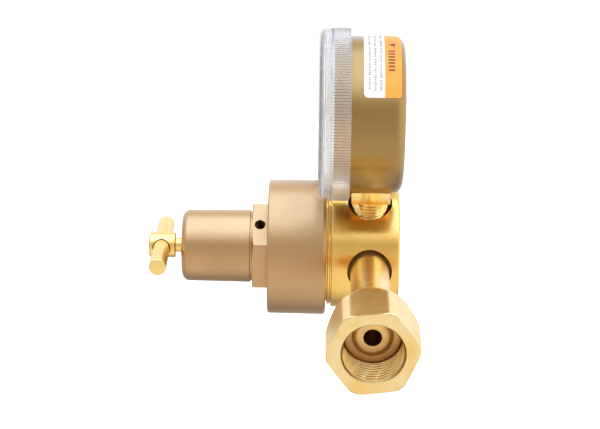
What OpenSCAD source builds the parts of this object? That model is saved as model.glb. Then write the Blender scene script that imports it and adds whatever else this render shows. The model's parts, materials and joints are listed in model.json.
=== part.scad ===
// Single-stage gas regulator: round brass body, painted bonnet with a T-handle,
// swivel inlet nut, outlet, relief valve and two gauges under clear lenses.
// The bonnet axis runs along X, with the handle at -X. Five ports leave the body
// 72 degrees apart. The origin is on the inlet axis, at the outer end of the nut's thread.

/* [Body] */
// Diameter of the round brass body
body_d = 44.6; // [42:0.2:48]
// Rear face of the body, behind the plane of the ports
body_rear = 11; // [10:0.5:14]
// Front face of the body, ahead of the plane of the ports
body_front = 14; // [12:0.5:16]
// Diameter of the counterbore around each port
counterbore_d = 16.4; // [16:0.1:18]

/* [Bonnet] */
// Diameter of the bonnet's clamping ring
ring_d = 50; // [48:0.5:54]
// Length of the clamping ring
ring_len = 21.6; // [20:0.2:24]
// Width across the flats of the bonnet's hexagon
bonnet_hex_af = 31.1; // [29:0.1:33]
// Diameter of the spring barrel at its closed end
barrel_d = 26.6; // [25:0.1:28]
// Length of the spring barrel
barrel_len = 26.4; // [25:0.1:28]
// Diameter of the vent hole in the hexagon
vent_d = 4; // [3:0.5:5]

/* [Handle] */
// Diameter of the handle's hub
hub_d = 9.4; // [9:0.1:11]
// Length of the handle's hub
hub_len = 10.3; // [9:0.1:12]
// Diameter of the cross bar
bar_d = 6.4; // [5:0.1:6.4]
// Length of the cross bar
bar_len = 47.4; // [40:0.2:60]
// Angle of the cross bar's near end below the horizontal
bar_drop = 15.5; // [0:0.5:90]
// Major diameter of the adjusting screw's thread
screw_d = 7.9; // [6:0.1:9]

/* [Inlet] */
// Distance from the bonnet axis to the mouth of the inlet nut
inlet_reach = 89.8; // [80:0.2:100]
// Diameter of the inlet stem
stem_d = 14.2; // [13:0.1:15]
// Width of the inlet nut across its flats
nut_af = 29.4; // [28:0.1:32]
// Length of the inlet nut
nut_len = 23; // [19:0.5:24]
// Diameter of the bore that the inlet thread is cut in
nut_bore_d = 20.9; // [20:0.1:22]
// Diameter of the gas passage through the inlet stem
inlet_bore_d = 6.2; // [4:0.1:7]

/* [Outlet] */
// Distance from the bonnet axis to the outlet's end
outlet_reach = 52; // [46:1:60]
// Major diameter of the outlet thread
outlet_thread_d = 14.28; // [12:0.02:15]
// Width of the outlet's hexagon across its flats
outlet_hex_af = 17.5; // [16:0.5:20]

/* [Relief valve] */
// Distance from the bonnet axis to the relief valve's end
relief_reach = 41; // [40:0.5:46]
// Width of the relief valve's hexagon across its flats
relief_hex_af = 15.9; // [15:0.1:19]

/* [Gauges] */
// Distance from the bonnet axis to a gauge's centre
gauge_reach = 63; // [62:0.5:70]
// Diameter of the gauge case
case_d = 55.8; // [54:0.2:58]
// Diameter of the clear lens around the case
lens_d = 61.4; // [60:0.2:62]
// Distance from the plane of the ports to the front of the lens
lens_front = 19.5; // [18:0.1:20]
// Distance from the plane of the ports to the back of the case
case_back = 10.5; // [10:0.5:14]
// Width of the gauge's square socket
socket_af = 14.3; // [13:0.1:15]

/* [Hidden] */
$fn = 96;

// Colours
brass = "#d0a050";
bright_brass = "#e0b860";
bronze_paint = "#be9669";
case_brass = "#a57d3c";
clear_plastic = [0.9, 0.92, 0.95, 0.35];
white_card = "#f4f4f0";
black_enamel = "#202020";
spring_steel = "#8c8c90";
black_rubber = "#303030";
white_plastic = "#e8e6dc";
label_orange = "#f5b040";

// Five ports, numbered around the body from the near gauge
port_step = 72;
first_port_tilt = 36;
supply_gauge_port = 0;
inlet_port = 1;
relief_port = 2;
outlet_port = 3;
delivery_gauge_port = 4;

// Clearances
screwed_gap = 0.03;
running_gap = 0.05;
eps = 0.01;

// Body and the chamber under the diaphragm
body_r = body_d / 2;
body_edge = 1;
flange_r = 21.3;
flange_len = 1.5;
flange_groove = 0.4;
neck_r = 20.2;
spigot_r = 20.6;
spigot_front = -27;
neck_rear = -18;
chamber_r = 14.5;
chamber_floor = -20.5;
port_hole_r = 6.9;
port_hole_floor = 11.5;
counterbore_floor = 17.6;
inlet_counterbore_floor = 20.2;
cavity_r = 6;
cavity_rear = 4.5;
passage_d = 2.4;
passage_r = 12.9;

// Bonnet
ring_rear = -16;
ring_front = ring_rear - ring_len;
ring_r = ring_d / 2;
ring_edge = 0.8;
ring_rear_edge = 1.2;
ring_draft = 0.2;
hex_len = 5.9;
hex_front = ring_front - hex_len;
hex_turn = 24;
hex_bevel = 0.9;
barrel_r = barrel_d / 2;
barrel_draft = 0.25;
barrel_edge = 3;
barrel_front = hex_front - barrel_len;
barrel_face_r = 6;
barrel_face_fall = 0.35;
end_wall = 5.4;
wall_end = barrel_front + end_wall;
spring_bore_r = 10.6;
plate_bore_r = 17.5;
plate_bore_front = -35.5;
ledge = -29;
vent_x = -40.5;
vent_turn = 54;

// Diaphragm stack
diaphragm_t = 1;
diaphragm_r = 20.2;
slip_ring_t = 1;
slip_ring_bore_r = 15.5;
plate_r = 12.5;
plate_t = 3;
plate_boss_r = 5.2;
plate_boss_t = 2;
rivet_r = 1.5;
button_r = 5;
button_t = 2.4;

// Adjusting screw, its spring button and the range spring
hub_end = -72.4 - hub_len;
hub_dome = 0.25;
hub_crown = 0.35;
hub_edge = 0.6;
hub_back_edge = 0.3;
neck_d = 5.3;
screw_r = screw_d / 2;
screw_shoulder = -70.1;
screw_tip = -57;
tip_r = 2.4;
spring_button_front = -58.2;
spring_button_rear = -54.5;
spring_button_r = 9.8;
spring_button_boss_r = 5.2;
dimple_r = 3;
spring_wire = 3.2;
spring_mean_r = 8;
spring_turns = 5;

// Main valve
nozzle_hex_af = 12;
nozzle_hex_t = 2.5;
nozzle_washer_t = 0.6;
nozzle_washer_r = 7.6;
nozzle_r = 5.95;
nozzle_end = -11.5;
seat_lip_r = 2.4;
seat_lip_t = 0.7;
orifice_r = 1.6;
push_rod_r = 1.1;
push_rod_tip = spigot_front + button_t + 0.02;
poppet_front = -10.75;
poppet_rear = -4.7;
poppet_r = 4.4;
poppet_seat_r = 3.2;
poppet_seat_t = 1.6;
poppet_spring_wire = 0.7;
poppet_spring_r = 3.2;
poppet_spring_turns = 6;

// Inlet stem and nut, measured outwards along the inlet axis
nut_face = inlet_reach;
mouth_chamfer = 1.2;
mouth_flare = 0.7;
nut_back = nut_face - nut_len;
nut_turn = 6.8;
nut_corner_r = 16.2;
nut_bevel_r = nut_af / 2 - 0.4;
nut_back_bevel = 5.3;
nut_front_bevel = 0.4;
nut_face_r = 15.5;
nut_wall = 5.5;
thread_len = 11.2;
thread_relief_r = nut_bore_d / 2 + 0.8;
collar_base = nut_back + nut_wall + 0.3;
collar_top = nut_face - 14;
collar_r = 10;
nose_top = nut_face - 12.7;
nose_r = 7.05;
nose_dome = 0.6;
nose_crown_r = 5.6;
nose_crown_fall = 0.05;
nipple_foot = port_hole_floor + 0.5;
filter_pocket_r = 4.8;
filter_top = 34;
filter_ring_t = 1;
origin_reach = nut_face - mouth_chamfer;

// Outlet fitting
outlet_foot = port_hole_floor + 0.5;
outlet_hex_base = body_r + 2.2;
outlet_hex_top = outlet_hex_base + 8;
outlet_bore_r = 3;
outlet_cone_r = 5.2;
outlet_cone_depth = 3;
outlet_edge = 1;

// Relief valve
relief_hex_base = body_r + 1.2;
relief_hex_top = relief_hex_base + 5.5;
relief_barrel_r = 6.6;
relief_bore_r = 4.6;
relief_seat = 27;
relief_inlet_r = 1.6;
relief_poppet_r = 4.3;
relief_seal_t = 1;
relief_poppet_t = 2;
relief_cap_t = 2.4;
relief_cap_vent_r = 1.8;
relief_wire = 0.6;
relief_spring_r = 3;
relief_spring_turns = 5;

// Gauge, in its own frame: X as the whole, Z away from the body
case_r = case_d / 2;
case_front = -14.2;
case_wall = 0.7;
case_edge = 4;
lens_r = lens_d / 2;
lens_rear = -8.4;
lens_disc_t = 2.1;
lens_bezel_r = lens_r - 0.4;
lens_edge = 1.6;
lens_knurl_front = -15.4;
lens_bore_r = case_r + 0.1;
dial_r = 26.6;
dial_front = -12;
dial_t = 0.6;
dial_hole_r = 1.6;
dial_screw_reach = 7;
dial_screw_r = 1.1;
pointer_front = -14.1;
pointer_t = 0.5;
pointer_zero = 135;
pointer_len = 21;
pointer_tail = 7.5;
arbor_r = 0.75;
socket_floor = port_hole_floor + 0.5;
socket_thread_r = 6.85;
socket_square_base = 27.2;
socket_square_top = 38;
socket_block_w = 12;
socket_block_top = gauge_reach - 17.5;
socket_block_t = 9;
socket_bore_r = 1.5;
plate_front = -8.2;
plate_back = -2.4;
movement_t = 0.8;
movement_w = 10;
movement_top = 4.5;
post_r = 0.8;
gear_module = 0.25;
pinion_teeth = 12;
sector_teeth = 96;
pinion_pitch_r = gear_module * pinion_teeth / 2;
sector_pitch_r = gear_module * sector_teeth / 2;
gear_spacing = pinion_pitch_r + sector_pitch_r;
tooth_rise = 0.18;
tooth_root = 0.28;
pinion_front = -6.4;
pinion_rear = -3.6;
sector_front = -5.4;
sector_t = 0.8;
tail = [-6.5, -gear_spacing - 1];
tube_r = 20;
tube_t = 3;
tube_w = 8;
tube_start = -82;
tube_sweep = 286;
tip_pin = [-15.5, -10.5];
link_front = -4.4;
link_t = 0.6;
link_pin_r = 0.4;
label_from = 14;
label_to = 105;
label_front = -4.2;
label_t = 0.15;

// Points along an arc about (cx, cy), from angle a to angle b
function arc(cx, cy, r, a, b, n = 8) =
    [for (i = [0:n]) let (t = a + (b - a) * i / n) [cx + r * cos(t), cy + r * sin(t)]];

// Solid turned about X from [radius, x] points
module turned(points) rotate([0, 90, 0]) rotate_extrude() polygon(points);

// Round bar or tube blank along X, from x0 to x1
module bar_x(r, x0, x1) translate([x0, 0, 0]) rotate([0, 90, 0]) cylinder(r = r, h = x1 - x0);

// Hexagonal bar along X
module hex_x(af, x0, x1) translate([x0, 0, 0]) rotate([0, 90, 0])
    cylinder(d = af / cos(30), h = x1 - x0, $fn = 6);

// Round bar along Z, from z0 to z1
module bar_z(r, z0, z1) translate([0, 0, z0]) cylinder(r = r, h = z1 - z0);

// Hexagonal bar along Z
module hex_z(af, z0, z1) translate([0, 0, z0]) cylinder(d = af / cos(30), h = z1 - z0, $fn = 6);

// Places the bonnet axis in the part's frame
module on_body() translate([0, origin_reach * sin(108), -origin_reach * cos(108)]) children();

// Turns local Z to a port's outward direction
module at_port(k) on_body() rotate([first_port_tilt + port_step * k, 0, 0]) children();

// Places a gauge's centre
module at_gauge(k) at_port(k) translate([0, 0, gauge_reach]) children();

// Coil spring along X: mean radius r, wire thickness w, between the planes x0 and x1
function coil_point(r, w, x0, x1, turns, steps, i, sides, j) =
    let (s = i / steps, t = 360 * turns * s, q = 360 * j / sides,
         rr = r + w / 2 * cos(q), x = x0 + w / 2 + (x1 - x0 - w) * s + w / 2 * sin(q))
    [x, rr * cos(t), rr * sin(t)];

module coil_x(r, w, x0, x1, turns) {
    sides = 6;
    steps = 18 * turns;
    polyhedron(
        points = [for (i = [0:steps], j = [0:sides - 1])
            coil_point(r, w, x0, x1, turns, steps, i, sides, j)],
        faces = concat(
            [[for (j = [0:sides - 1]) j]],
            [for (i = [0:steps - 1], j = [0:sides - 1], half = [0, 1])
                let (a = i * sides + j, b = i * sides + (j + 1) % sides)
                half == 0 ? [a, a + sides, b] : [b, a + sides, b + sides]],
            [[for (j = [sides - 1:-1:0]) steps * sides + j]]));
}

// ---- Body and bonnet ----

module body_block() color(brass) on_body() difference() {
    turned([
        [0, body_rear], [body_r - body_edge, body_rear], [body_r, body_rear - body_edge],
        [body_r, -body_front], [flange_r - flange_groove, -body_front],
        [flange_r - flange_groove, -body_front - flange_groove],
        [flange_r, -body_front - flange_groove], [flange_r, -body_front - flange_len],
        [neck_r, -body_front - flange_len], [neck_r, neck_rear], [spigot_r, neck_rear],
        [spigot_r, spigot_front], [0, spigot_front]
    ]);
    bar_x(chamber_r, spigot_front - eps, chamber_floor);
    bar_x(cavity_r, chamber_floor - eps, cavity_rear);
    for (k = [0:4]) rotate([first_port_tilt + port_step * k, 0, 0]) {
        bar_z(port_hole_r, port_hole_floor, body_r + 1);
        bar_z(counterbore_d / 2, k == inlet_port ? inlet_counterbore_floor : counterbore_floor,
            body_r + 1);
    }
    for (k = [supply_gauge_port, inlet_port]) rotate([first_port_tilt + port_step * k, 0, 0])
        bar_z(passage_d / 2, 0, port_hole_floor + 1);
    for (k = [relief_port, outlet_port, delivery_gauge_port])
        rotate([first_port_tilt + port_step * k, 0, 0]) translate([0, 0, passage_r])
            bar_x(passage_d / 2, chamber_floor - eps, 0);
}

module bonnet_outside() {
    turned(concat(
        [[0, ring_rear]],
        arc(ring_r + ring_draft - ring_rear_edge, ring_rear - ring_rear_edge,
            ring_rear_edge, 90, 0, 5),
        arc(ring_r - ring_edge, ring_front + ring_edge, ring_edge, 0, -90, 5),
        [[0, ring_front]]));
    intersection() {
        rotate([hex_turn, 0, 0]) hex_x(bonnet_hex_af, hex_front, ring_front + 1);
        turned([
            [0, hex_front], [bonnet_hex_af / 2, hex_front],
            [bonnet_hex_af / 2 + 3, hex_front + hex_bevel],
            [bonnet_hex_af / 2 + 3, ring_front + 1], [0, ring_front + 1]
        ]);
    }
    turned(concat(
        [[0, barrel_front], [barrel_face_r, barrel_front]],
        arc(barrel_r - barrel_edge, barrel_front + barrel_face_fall + barrel_edge,
            barrel_edge, -90, 0),
        [[barrel_r + barrel_draft, hex_front + 0.5], [0, hex_front + 0.5]]));
}

module bonnet() color(bronze_paint) on_body() difference() {
    bonnet_outside();
    bar_x(screw_r + running_gap, barrel_front - 1, wall_end + 1);
    bar_x(spring_bore_r, wall_end, ring_front + 3);
    bar_x(plate_bore_r, plate_bore_front, ring_rear + 1);
    bar_x(spigot_r + screwed_gap, ledge, ring_rear + 1);
    for (turn = [0, 180]) rotate([vent_turn + turn, 0, 0]) translate([vent_x, 0, 0])
        bar_z(vent_d / 2, spring_bore_r - 2, bonnet_hex_af);
}

module slip_ring() color(brass) on_body() difference() {
    bar_x(diaphragm_r, ledge, ledge + slip_ring_t);
    bar_x(slip_ring_bore_r, ledge - 1, ledge + slip_ring_t + 1);
}

module diaphragm() color(black_rubber) on_body() difference() {
    bar_x(diaphragm_r, spigot_front - diaphragm_t, spigot_front);
    bar_x(rivet_r + screwed_gap, spigot_front - 2, spigot_front + 1);
}

module diaphragm_plate() color(brass) on_body() difference() {
    union() {
        bar_x(plate_r, spigot_front - diaphragm_t - plate_t, spigot_front - diaphragm_t);
        bar_x(plate_boss_r, spigot_front - diaphragm_t - plate_t - plate_boss_t,
            spigot_front - diaphragm_t);
    }
    bar_x(rivet_r + screwed_gap, ledge - plate_t - plate_boss_t - 1, spigot_front);
}

module diaphragm_button() color(bright_brass) on_body() {
    bar_x(button_r, spigot_front, spigot_front + button_t);
    bar_x(rivet_r, spigot_front - diaphragm_t - plate_t, spigot_front + 1);
}

module range_spring() color(spring_steel) on_body()
    coil_x(spring_mean_r, spring_wire, spring_button_rear + eps,
        spigot_front - diaphragm_t - plate_t - eps, spring_turns);

// ---- Adjusting screw ----

module spring_button() color(brass) on_body() difference() {
    union() {
        bar_x(spring_button_r, spring_button_front, spring_button_rear);
        bar_x(spring_button_boss_r, spring_button_front, spring_button_rear + 2);
    }
    bar_x(dimple_r, spring_button_front - 1, screw_tip + eps);
}

module adjusting_screw() color(bright_brass) on_body() difference() {
    turned(concat(
        [[0, hub_end - hub_dome + hub_crown],
         [hub_d / 2 - hub_edge, hub_end + hub_crown],
         [hub_d / 2, hub_end + hub_crown + hub_edge]],
        [[hub_d / 2, hub_end + hub_len - hub_back_edge],
         [hub_d / 2 - hub_back_edge, hub_end + hub_len],
         [neck_d / 2, hub_end + hub_len], [neck_d / 2, screw_shoulder],
         [screw_r - 0.5, screw_shoulder], [screw_r, screw_shoulder + 0.5],
         [screw_r, screw_tip - 3], [tip_r, screw_tip - 1.5], [tip_r, screw_tip],
         [0, screw_tip]]));
    translate([hub_end + hub_len / 2, 0, 0]) rotate([90 + bar_drop, 0, 0])
        cylinder(r = bar_d / 2 + screwed_gap, h = 3 * hub_d, center = true);
}

module tommy_bar() color(bright_brass) on_body()
    translate([hub_end + hub_len / 2, 0, 0]) rotate([90 + bar_drop, 0, 0])
        rotate_extrude() polygon(concat(
            [[0, -bar_len / 2]],
            arc(bar_d / 2 - 1.6, -bar_len / 2 + 1.6, 1.6, -90, 0, 5),
            [[bar_d / 2, bar_len / 2 - 0.6], [bar_d / 2 - 0.6, bar_len / 2], [0, bar_len / 2]]));

// ---- Main valve ----

module valve_nozzle() color(brass) on_body() difference() {
    union() {
        hex_x(nozzle_hex_af, chamber_floor - nozzle_washer_t - nozzle_hex_t,
            chamber_floor - nozzle_washer_t);
        bar_x(nozzle_r, chamber_floor - nozzle_washer_t - eps, nozzle_end);
        bar_x(seat_lip_r, nozzle_end - 1, nozzle_end + seat_lip_t);
    }
    bar_x(orifice_r, chamber_floor - 10, nozzle_end + 2);
}

module nozzle_washer() color("#b87333") on_body() difference() {
    bar_x(nozzle_washer_r, chamber_floor - nozzle_washer_t, chamber_floor);
    bar_x(nozzle_r + screwed_gap, chamber_floor - 2, chamber_floor + 1);
}

module valve_poppet() color(bright_brass) on_body() difference() {
    union() {
        bar_x(poppet_r, poppet_front, poppet_rear);
        bar_x(push_rod_r, push_rod_tip, poppet_front + 2 * poppet_seat_t);
    }
    difference() {
        bar_x(poppet_seat_r, poppet_front - 1, poppet_front + poppet_seat_t);
        bar_x(push_rod_r, push_rod_tip, poppet_front + 2 * poppet_seat_t);
    }
}

module poppet_seat() color(white_plastic) on_body() difference() {
    bar_x(poppet_seat_r - screwed_gap, poppet_front, poppet_front + poppet_seat_t);
    bar_x(push_rod_r + screwed_gap, poppet_front - 1, poppet_front + poppet_seat_t + 1);
}

module poppet_spring() color(spring_steel) on_body()
    coil_x(poppet_spring_r, poppet_spring_wire, poppet_rear + eps, cavity_rear - eps,
        poppet_spring_turns);

// ---- Inlet ----

module inlet_nipple() color(brass) at_port(inlet_port) difference() {
    rotate_extrude() polygon(concat(
        [[0, nipple_foot], [port_hole_r - screwed_gap - 0.6, nipple_foot],
         [port_hole_r - screwed_gap, nipple_foot + 0.6],
         [port_hole_r - screwed_gap, inlet_counterbore_floor + 0.1],
         [stem_d / 2, inlet_counterbore_floor + 0.3], [stem_d / 2, collar_base],
         [collar_r, collar_base], [collar_r, collar_top - 0.5],
         [collar_r - 0.5, collar_top], [nose_r, collar_top]],
        [[nose_r, nose_top - nose_dome], [nose_crown_r, nose_top - nose_crown_fall],
         [inlet_bore_d / 2, nose_top], [0, nose_top]]));
    bar_z(inlet_bore_d / 2, filter_top - 1, nose_top + 1);
    bar_z(filter_pocket_r, nipple_foot - 1, filter_top);
}

module inlet_filter() color("#a8803c") at_port(inlet_port) difference() {
    bar_z(filter_pocket_r - screwed_gap, nipple_foot + filter_ring_t, filter_top);
    bar_z(filter_pocket_r - 1.8, nipple_foot, filter_top - 2);
}

module filter_ring() color(spring_steel) at_port(inlet_port) difference() {
    bar_z(filter_pocket_r - screwed_gap, nipple_foot, nipple_foot + filter_ring_t);
    bar_z(filter_pocket_r - 1.4, nipple_foot - 1, nipple_foot + filter_ring_t + 1);
}

module inlet_nut() color(brass) at_port(inlet_port) difference() {
    intersection() {
        rotate([0, 0, nut_turn]) hex_z(nut_af, nut_back, nut_face);
        rotate_extrude() polygon([
            [0, nut_back], [nut_bevel_r, nut_back], [nut_corner_r, nut_back + nut_back_bevel],
            [nut_corner_r, nut_face - nut_front_bevel], [nut_face_r, nut_face], [0, nut_face]
        ]);
    }
    bar_z(stem_d / 2 + running_gap, nut_back - 1, nut_face);
    bar_z(nut_bore_d / 2, nut_back + nut_wall + 1, nut_face + 1);
    bar_z(thread_relief_r, nut_back + nut_wall, nut_face - mouth_chamfer - thread_len);
    rotate_extrude() polygon([
        [0, nut_face - mouth_chamfer], [nut_bore_d / 2, nut_face - mouth_chamfer],
        [nut_bore_d / 2 + mouth_flare, nut_face], [nut_bore_d / 2 + mouth_flare, nut_face + 1],
        [0, nut_face + 1]
    ]);
}

// ---- Outlet ----

module outlet_fitting() color(brass) at_port(outlet_port) difference() {
    union() {
        bar_z(port_hole_r - screwed_gap, outlet_foot, outlet_hex_base + 1);
        intersection() {
            hex_z(outlet_hex_af, outlet_hex_base, outlet_hex_top);
            rotate_extrude() polygon([
                [0, outlet_hex_base], [outlet_hex_af / 2, outlet_hex_base],
                [outlet_hex_af / 2 + 1.6, outlet_hex_base + 1],
                [outlet_hex_af / 2 + 1.6, outlet_hex_top - 1],
                [outlet_hex_af / 2, outlet_hex_top], [0, outlet_hex_top]
            ]);
        }
        rotate_extrude() polygon([
            [0, outlet_hex_top - 1], [outlet_thread_d / 2, outlet_hex_top - 1],
            [outlet_thread_d / 2, outlet_reach - outlet_edge],
            [outlet_thread_d / 2 - outlet_edge, outlet_reach], [0, outlet_reach]
        ]);
    }
    bar_z(outlet_bore_r, outlet_foot - 1, outlet_reach + 1);
    translate([0, 0, outlet_reach - outlet_cone_depth])
        cylinder(r1 = outlet_bore_r, r2 = outlet_cone_r, h = outlet_cone_depth + eps);
}

// ---- Relief valve ----

module relief_body() color(brass) at_port(relief_port) difference() {
    union() {
        bar_z(port_hole_r - screwed_gap, port_hole_floor + 0.5, relief_hex_base + 1);
        hex_z(relief_hex_af, relief_hex_base, relief_hex_top);
        bar_z(relief_barrel_r, relief_hex_top - 1, relief_reach);
    }
    bar_z(relief_inlet_r, port_hole_floor, relief_seat + 1);
    bar_z(relief_bore_r, relief_seat, relief_reach + 1);
}

module relief_seal() color(black_rubber) at_port(relief_port)
    bar_z(relief_poppet_r - 0.6, relief_seat + 0.02, relief_seat + relief_seal_t);

module relief_poppet() color(bright_brass) at_port(relief_port) {
    bar_z(relief_poppet_r, relief_seat + relief_seal_t,
        relief_seat + relief_seal_t + relief_poppet_t);
    bar_z(1.4, relief_seat + relief_seal_t, relief_seat + relief_seal_t + relief_poppet_t + 2);
}

module relief_spring() color(spring_steel) at_port(relief_port) rotate([0, -90, 0])
    coil_x(relief_spring_r, relief_wire, relief_seat + relief_seal_t + relief_poppet_t + eps,
        relief_reach - relief_cap_t - eps, relief_spring_turns);

module relief_cap() color(brass) at_port(relief_port) difference() {
    bar_z(relief_bore_r - screwed_gap, relief_reach - relief_cap_t, relief_reach);
    bar_z(relief_cap_vent_r, relief_reach - relief_cap_t - 1, relief_reach + 1);
}

// ---- Gauge pieces, about the gauge's centre ----

module gauge_case() color(case_brass) difference() {
    turned(concat(
        [[0, case_front], [case_r, case_front]],
        arc(case_r - case_edge, case_back - case_edge, case_edge, 0, 90),
        [[0, case_back]]));
    turned(concat(
        [[0, case_front - 1], [case_r - case_wall, case_front - 1]],
        arc(case_r - case_edge, case_back - case_edge, case_edge - case_wall, 0, 90),
        [[0, case_back - case_wall]]));
    translate([0, 0, -case_r]) cube(socket_af + 2 * running_gap, center = true);
}

module gauge_lens() color(clear_plastic) difference() {
    turned(concat(
        [[0, -lens_front]],
        arc(lens_bezel_r - lens_edge, -lens_front + lens_edge, lens_edge, -90, 0),
        [[lens_bezel_r, lens_knurl_front], [lens_r, lens_knurl_front], [lens_r, lens_rear],
         [0, lens_rear]]));
    bar_x(lens_bore_r, -lens_front + lens_disc_t, lens_rear + 1);
}

module gauge_dial() color(white_card) difference() {
    bar_x(dial_r, dial_front, dial_front + dial_t);
    bar_x(dial_hole_r, dial_front - 1, dial_front + 2);
    for (side = [-1, 1]) translate([0, side * dial_screw_reach, 0])
        bar_x(dial_screw_r / 2 + running_gap, dial_front - 1, dial_front + 2);
}

module gauge_dial_screws() color(spring_steel)
    for (side = [-1, 1]) translate([0, side * dial_screw_reach, 0]) {
        bar_x(dial_screw_r, dial_front - 0.5, dial_front);
        bar_x(dial_screw_r / 2, dial_front - eps, plate_front - 0.2);
    }

module gauge_pointer() color(black_enamel) rotate([-pointer_zero, 0, 0]) difference() {
    union() {
        bar_x(2.4, pointer_front, pointer_front + pointer_t);
        bar_x(1.5, pointer_front - 0.6, pointer_front + 1);
        translate([pointer_front, 0, 0]) rotate([90, 0, 90]) linear_extrude(pointer_t)
            polygon([[-0.9, 0], [-0.25, pointer_len], [0.25, pointer_len], [0.9, 0],
                [1.5, -pointer_tail], [-1.5, -pointer_tail]]);
    }
    bar_x(arbor_r + screwed_gap, pointer_front - 0.3, pointer_front + 2);
}

// Straight-flanked teeth: the first is centred on local Y of the drawing
module toothed(teeth, pitch_r, from, to) {
    half_root = 0.2;
    half_tip = 0.07;
    for (i = [from:to]) rotate(360 * i / teeth)
        polygon([[-half_root, pitch_r - tooth_root - 0.1], [-half_root, pitch_r - tooth_root],
            [-half_tip, pitch_r + tooth_rise], [half_tip, pitch_r + tooth_rise],
            [half_root, pitch_r - tooth_root], [half_root, pitch_r - tooth_root - 0.1]]);
}

// Flat piece drawn as (y, z), between x and x + t
module flat(x, t) translate([x, 0, 0]) rotate([90, 0, 90]) linear_extrude(t) children();

module gauge_arbor() color(brass) {
    bar_x(arbor_r, pointer_front - 0.2, plate_back + movement_t);
    flat(pinion_front, pinion_rear - pinion_front) {
        circle(pinion_pitch_r - tooth_root);
        rotate(180 / pinion_teeth) toothed(pinion_teeth, pinion_pitch_r, 0, pinion_teeth - 1);
    }
}

module gauge_sector() color(brass) difference() {
    union() {
        flat(sector_front, sector_t) {
            translate([0, -gear_spacing]) {
                toothed(sector_teeth, sector_pitch_r, -2, 11);
                circle(1.8);
                intersection() {
                    difference() {
                        circle(sector_pitch_r - tooth_root);
                        circle(sector_pitch_r - 2);
                    }
                    polygon([[0, 0], [3, 16], [-12, 16], [-12, 10.5]]);
                }
                polygon([[-1.2, 0], [1.2, 0], [-0.8, 10.8], [-5, 10]]);
            }
            hull() {
                translate([0, -gear_spacing]) circle(1.2, $fn = 32);
                translate(tail) circle(1.1, $fn = 32);
            }
        }
        translate([0, 0, -gear_spacing]) bar_x(0.7, plate_front, plate_back + movement_t);
    }
    translate([0, tail[0], tail[1]])
        bar_x(link_pin_r + running_gap, sector_front - 1, sector_front + 2);
}

module gauge_link() color(spring_steel) {
    difference() {
        flat(link_front, link_t) difference() {
            hull() {
                translate(tail) circle(1, $fn = 32);
                translate(tip_pin) circle(1, $fn = 32);
            }
            translate(tip_pin) circle(link_pin_r + 0.1);
        }
    }
    translate([0, tail[0], tail[1]]) bar_x(link_pin_r, sector_front - 0.2, link_front + link_t);
}

module gauge_movement() color(brass) difference() {
    union() {
        for (x = [plate_front, plate_back]) translate([x, -movement_w / 2, socket_block_top
            - gauge_reach]) cube([movement_t, movement_w, movement_top + gauge_reach
            - socket_block_top]);
        for (y = [-1, 1], z = [movement_top - 1.5, socket_block_top - gauge_reach + 1])
            translate([0, y * (movement_w / 2 - 1), z]) bar_x(post_r, plate_front, plate_back);
        for (y = [-1, 1]) hull() {
            translate([plate_front, y * dial_screw_reach, 0])
                rotate([0, 90, 0]) cylinder(r = 1.6, h = movement_t, $fn = 32);
            translate([plate_front, y * 4, -2]) cube([movement_t, 1, 4]);
        }
    }
    bar_x(arbor_r + running_gap, plate_front - 1, plate_back + 2);
    translate([0, 0, -gear_spacing]) bar_x(0.75, plate_front - 1, plate_back + 2);
}

module gauge_tube() color("#b98a45") {
    difference() {
        rotate([tube_start, 0, 0]) rotate([90, 0, 90]) rotate_extrude(angle = tube_sweep)
            difference() {
                translate([tube_r - tube_t / 2, -tube_w / 2]) square([tube_t, tube_w]);
                translate([tube_r - tube_t / 2 + 0.5, -tube_w / 2 + 0.5])
                    square([tube_t - 1, tube_w - 1]);
            }
        translate([-10, -socket_block_w / 2 - screwed_gap, -30])
            cube([20, socket_block_w + 2 * screwed_gap, 30]);
    }
    flat(link_front + link_t + 0.2, 1.2) hull() {
        translate(tip_pin) circle(1.2, $fn = 32);
        translate([-17.2, -8.2]) circle(1.2, $fn = 32);
    }
    translate([0, tip_pin[0], tip_pin[1]])
        bar_x(link_pin_r, link_front - 0.3, link_front + link_t + 0.3);
}

// Socket in its port's frame, from the body outwards
module gauge_socket() color(bright_brass) difference() {
    union() {
        bar_z(socket_thread_r, socket_floor, socket_square_base + 1);
        translate([-socket_af / 2, -socket_af / 2, socket_square_base])
            cube([socket_af, socket_af, socket_square_top - socket_square_base]);
        translate([-socket_block_t / 2, -socket_block_w / 2, socket_square_base + 1])
            cube([socket_block_t, socket_block_w, socket_block_top - socket_square_base - 1]);
    }
    bar_z(socket_bore_r, socket_floor - 1, socket_block_top - 4);
}

module case_label() color(label_orange) at_gauge(supply_gauge_port)
    rotate([180 - first_port_tilt - label_to, 0, 0]) rotate([90, 0, 90]) rotate_extrude(
        angle = label_to - label_from)
        polygon(concat(
            [[case_r + label_t, label_front], [case_r + eps, label_front]],
            arc(case_r - case_edge, case_back - case_edge, case_edge + eps, 0, 35, 5),
            arc(case_r - case_edge, case_back - case_edge, case_edge + label_t, 35, 0, 5)));

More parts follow.
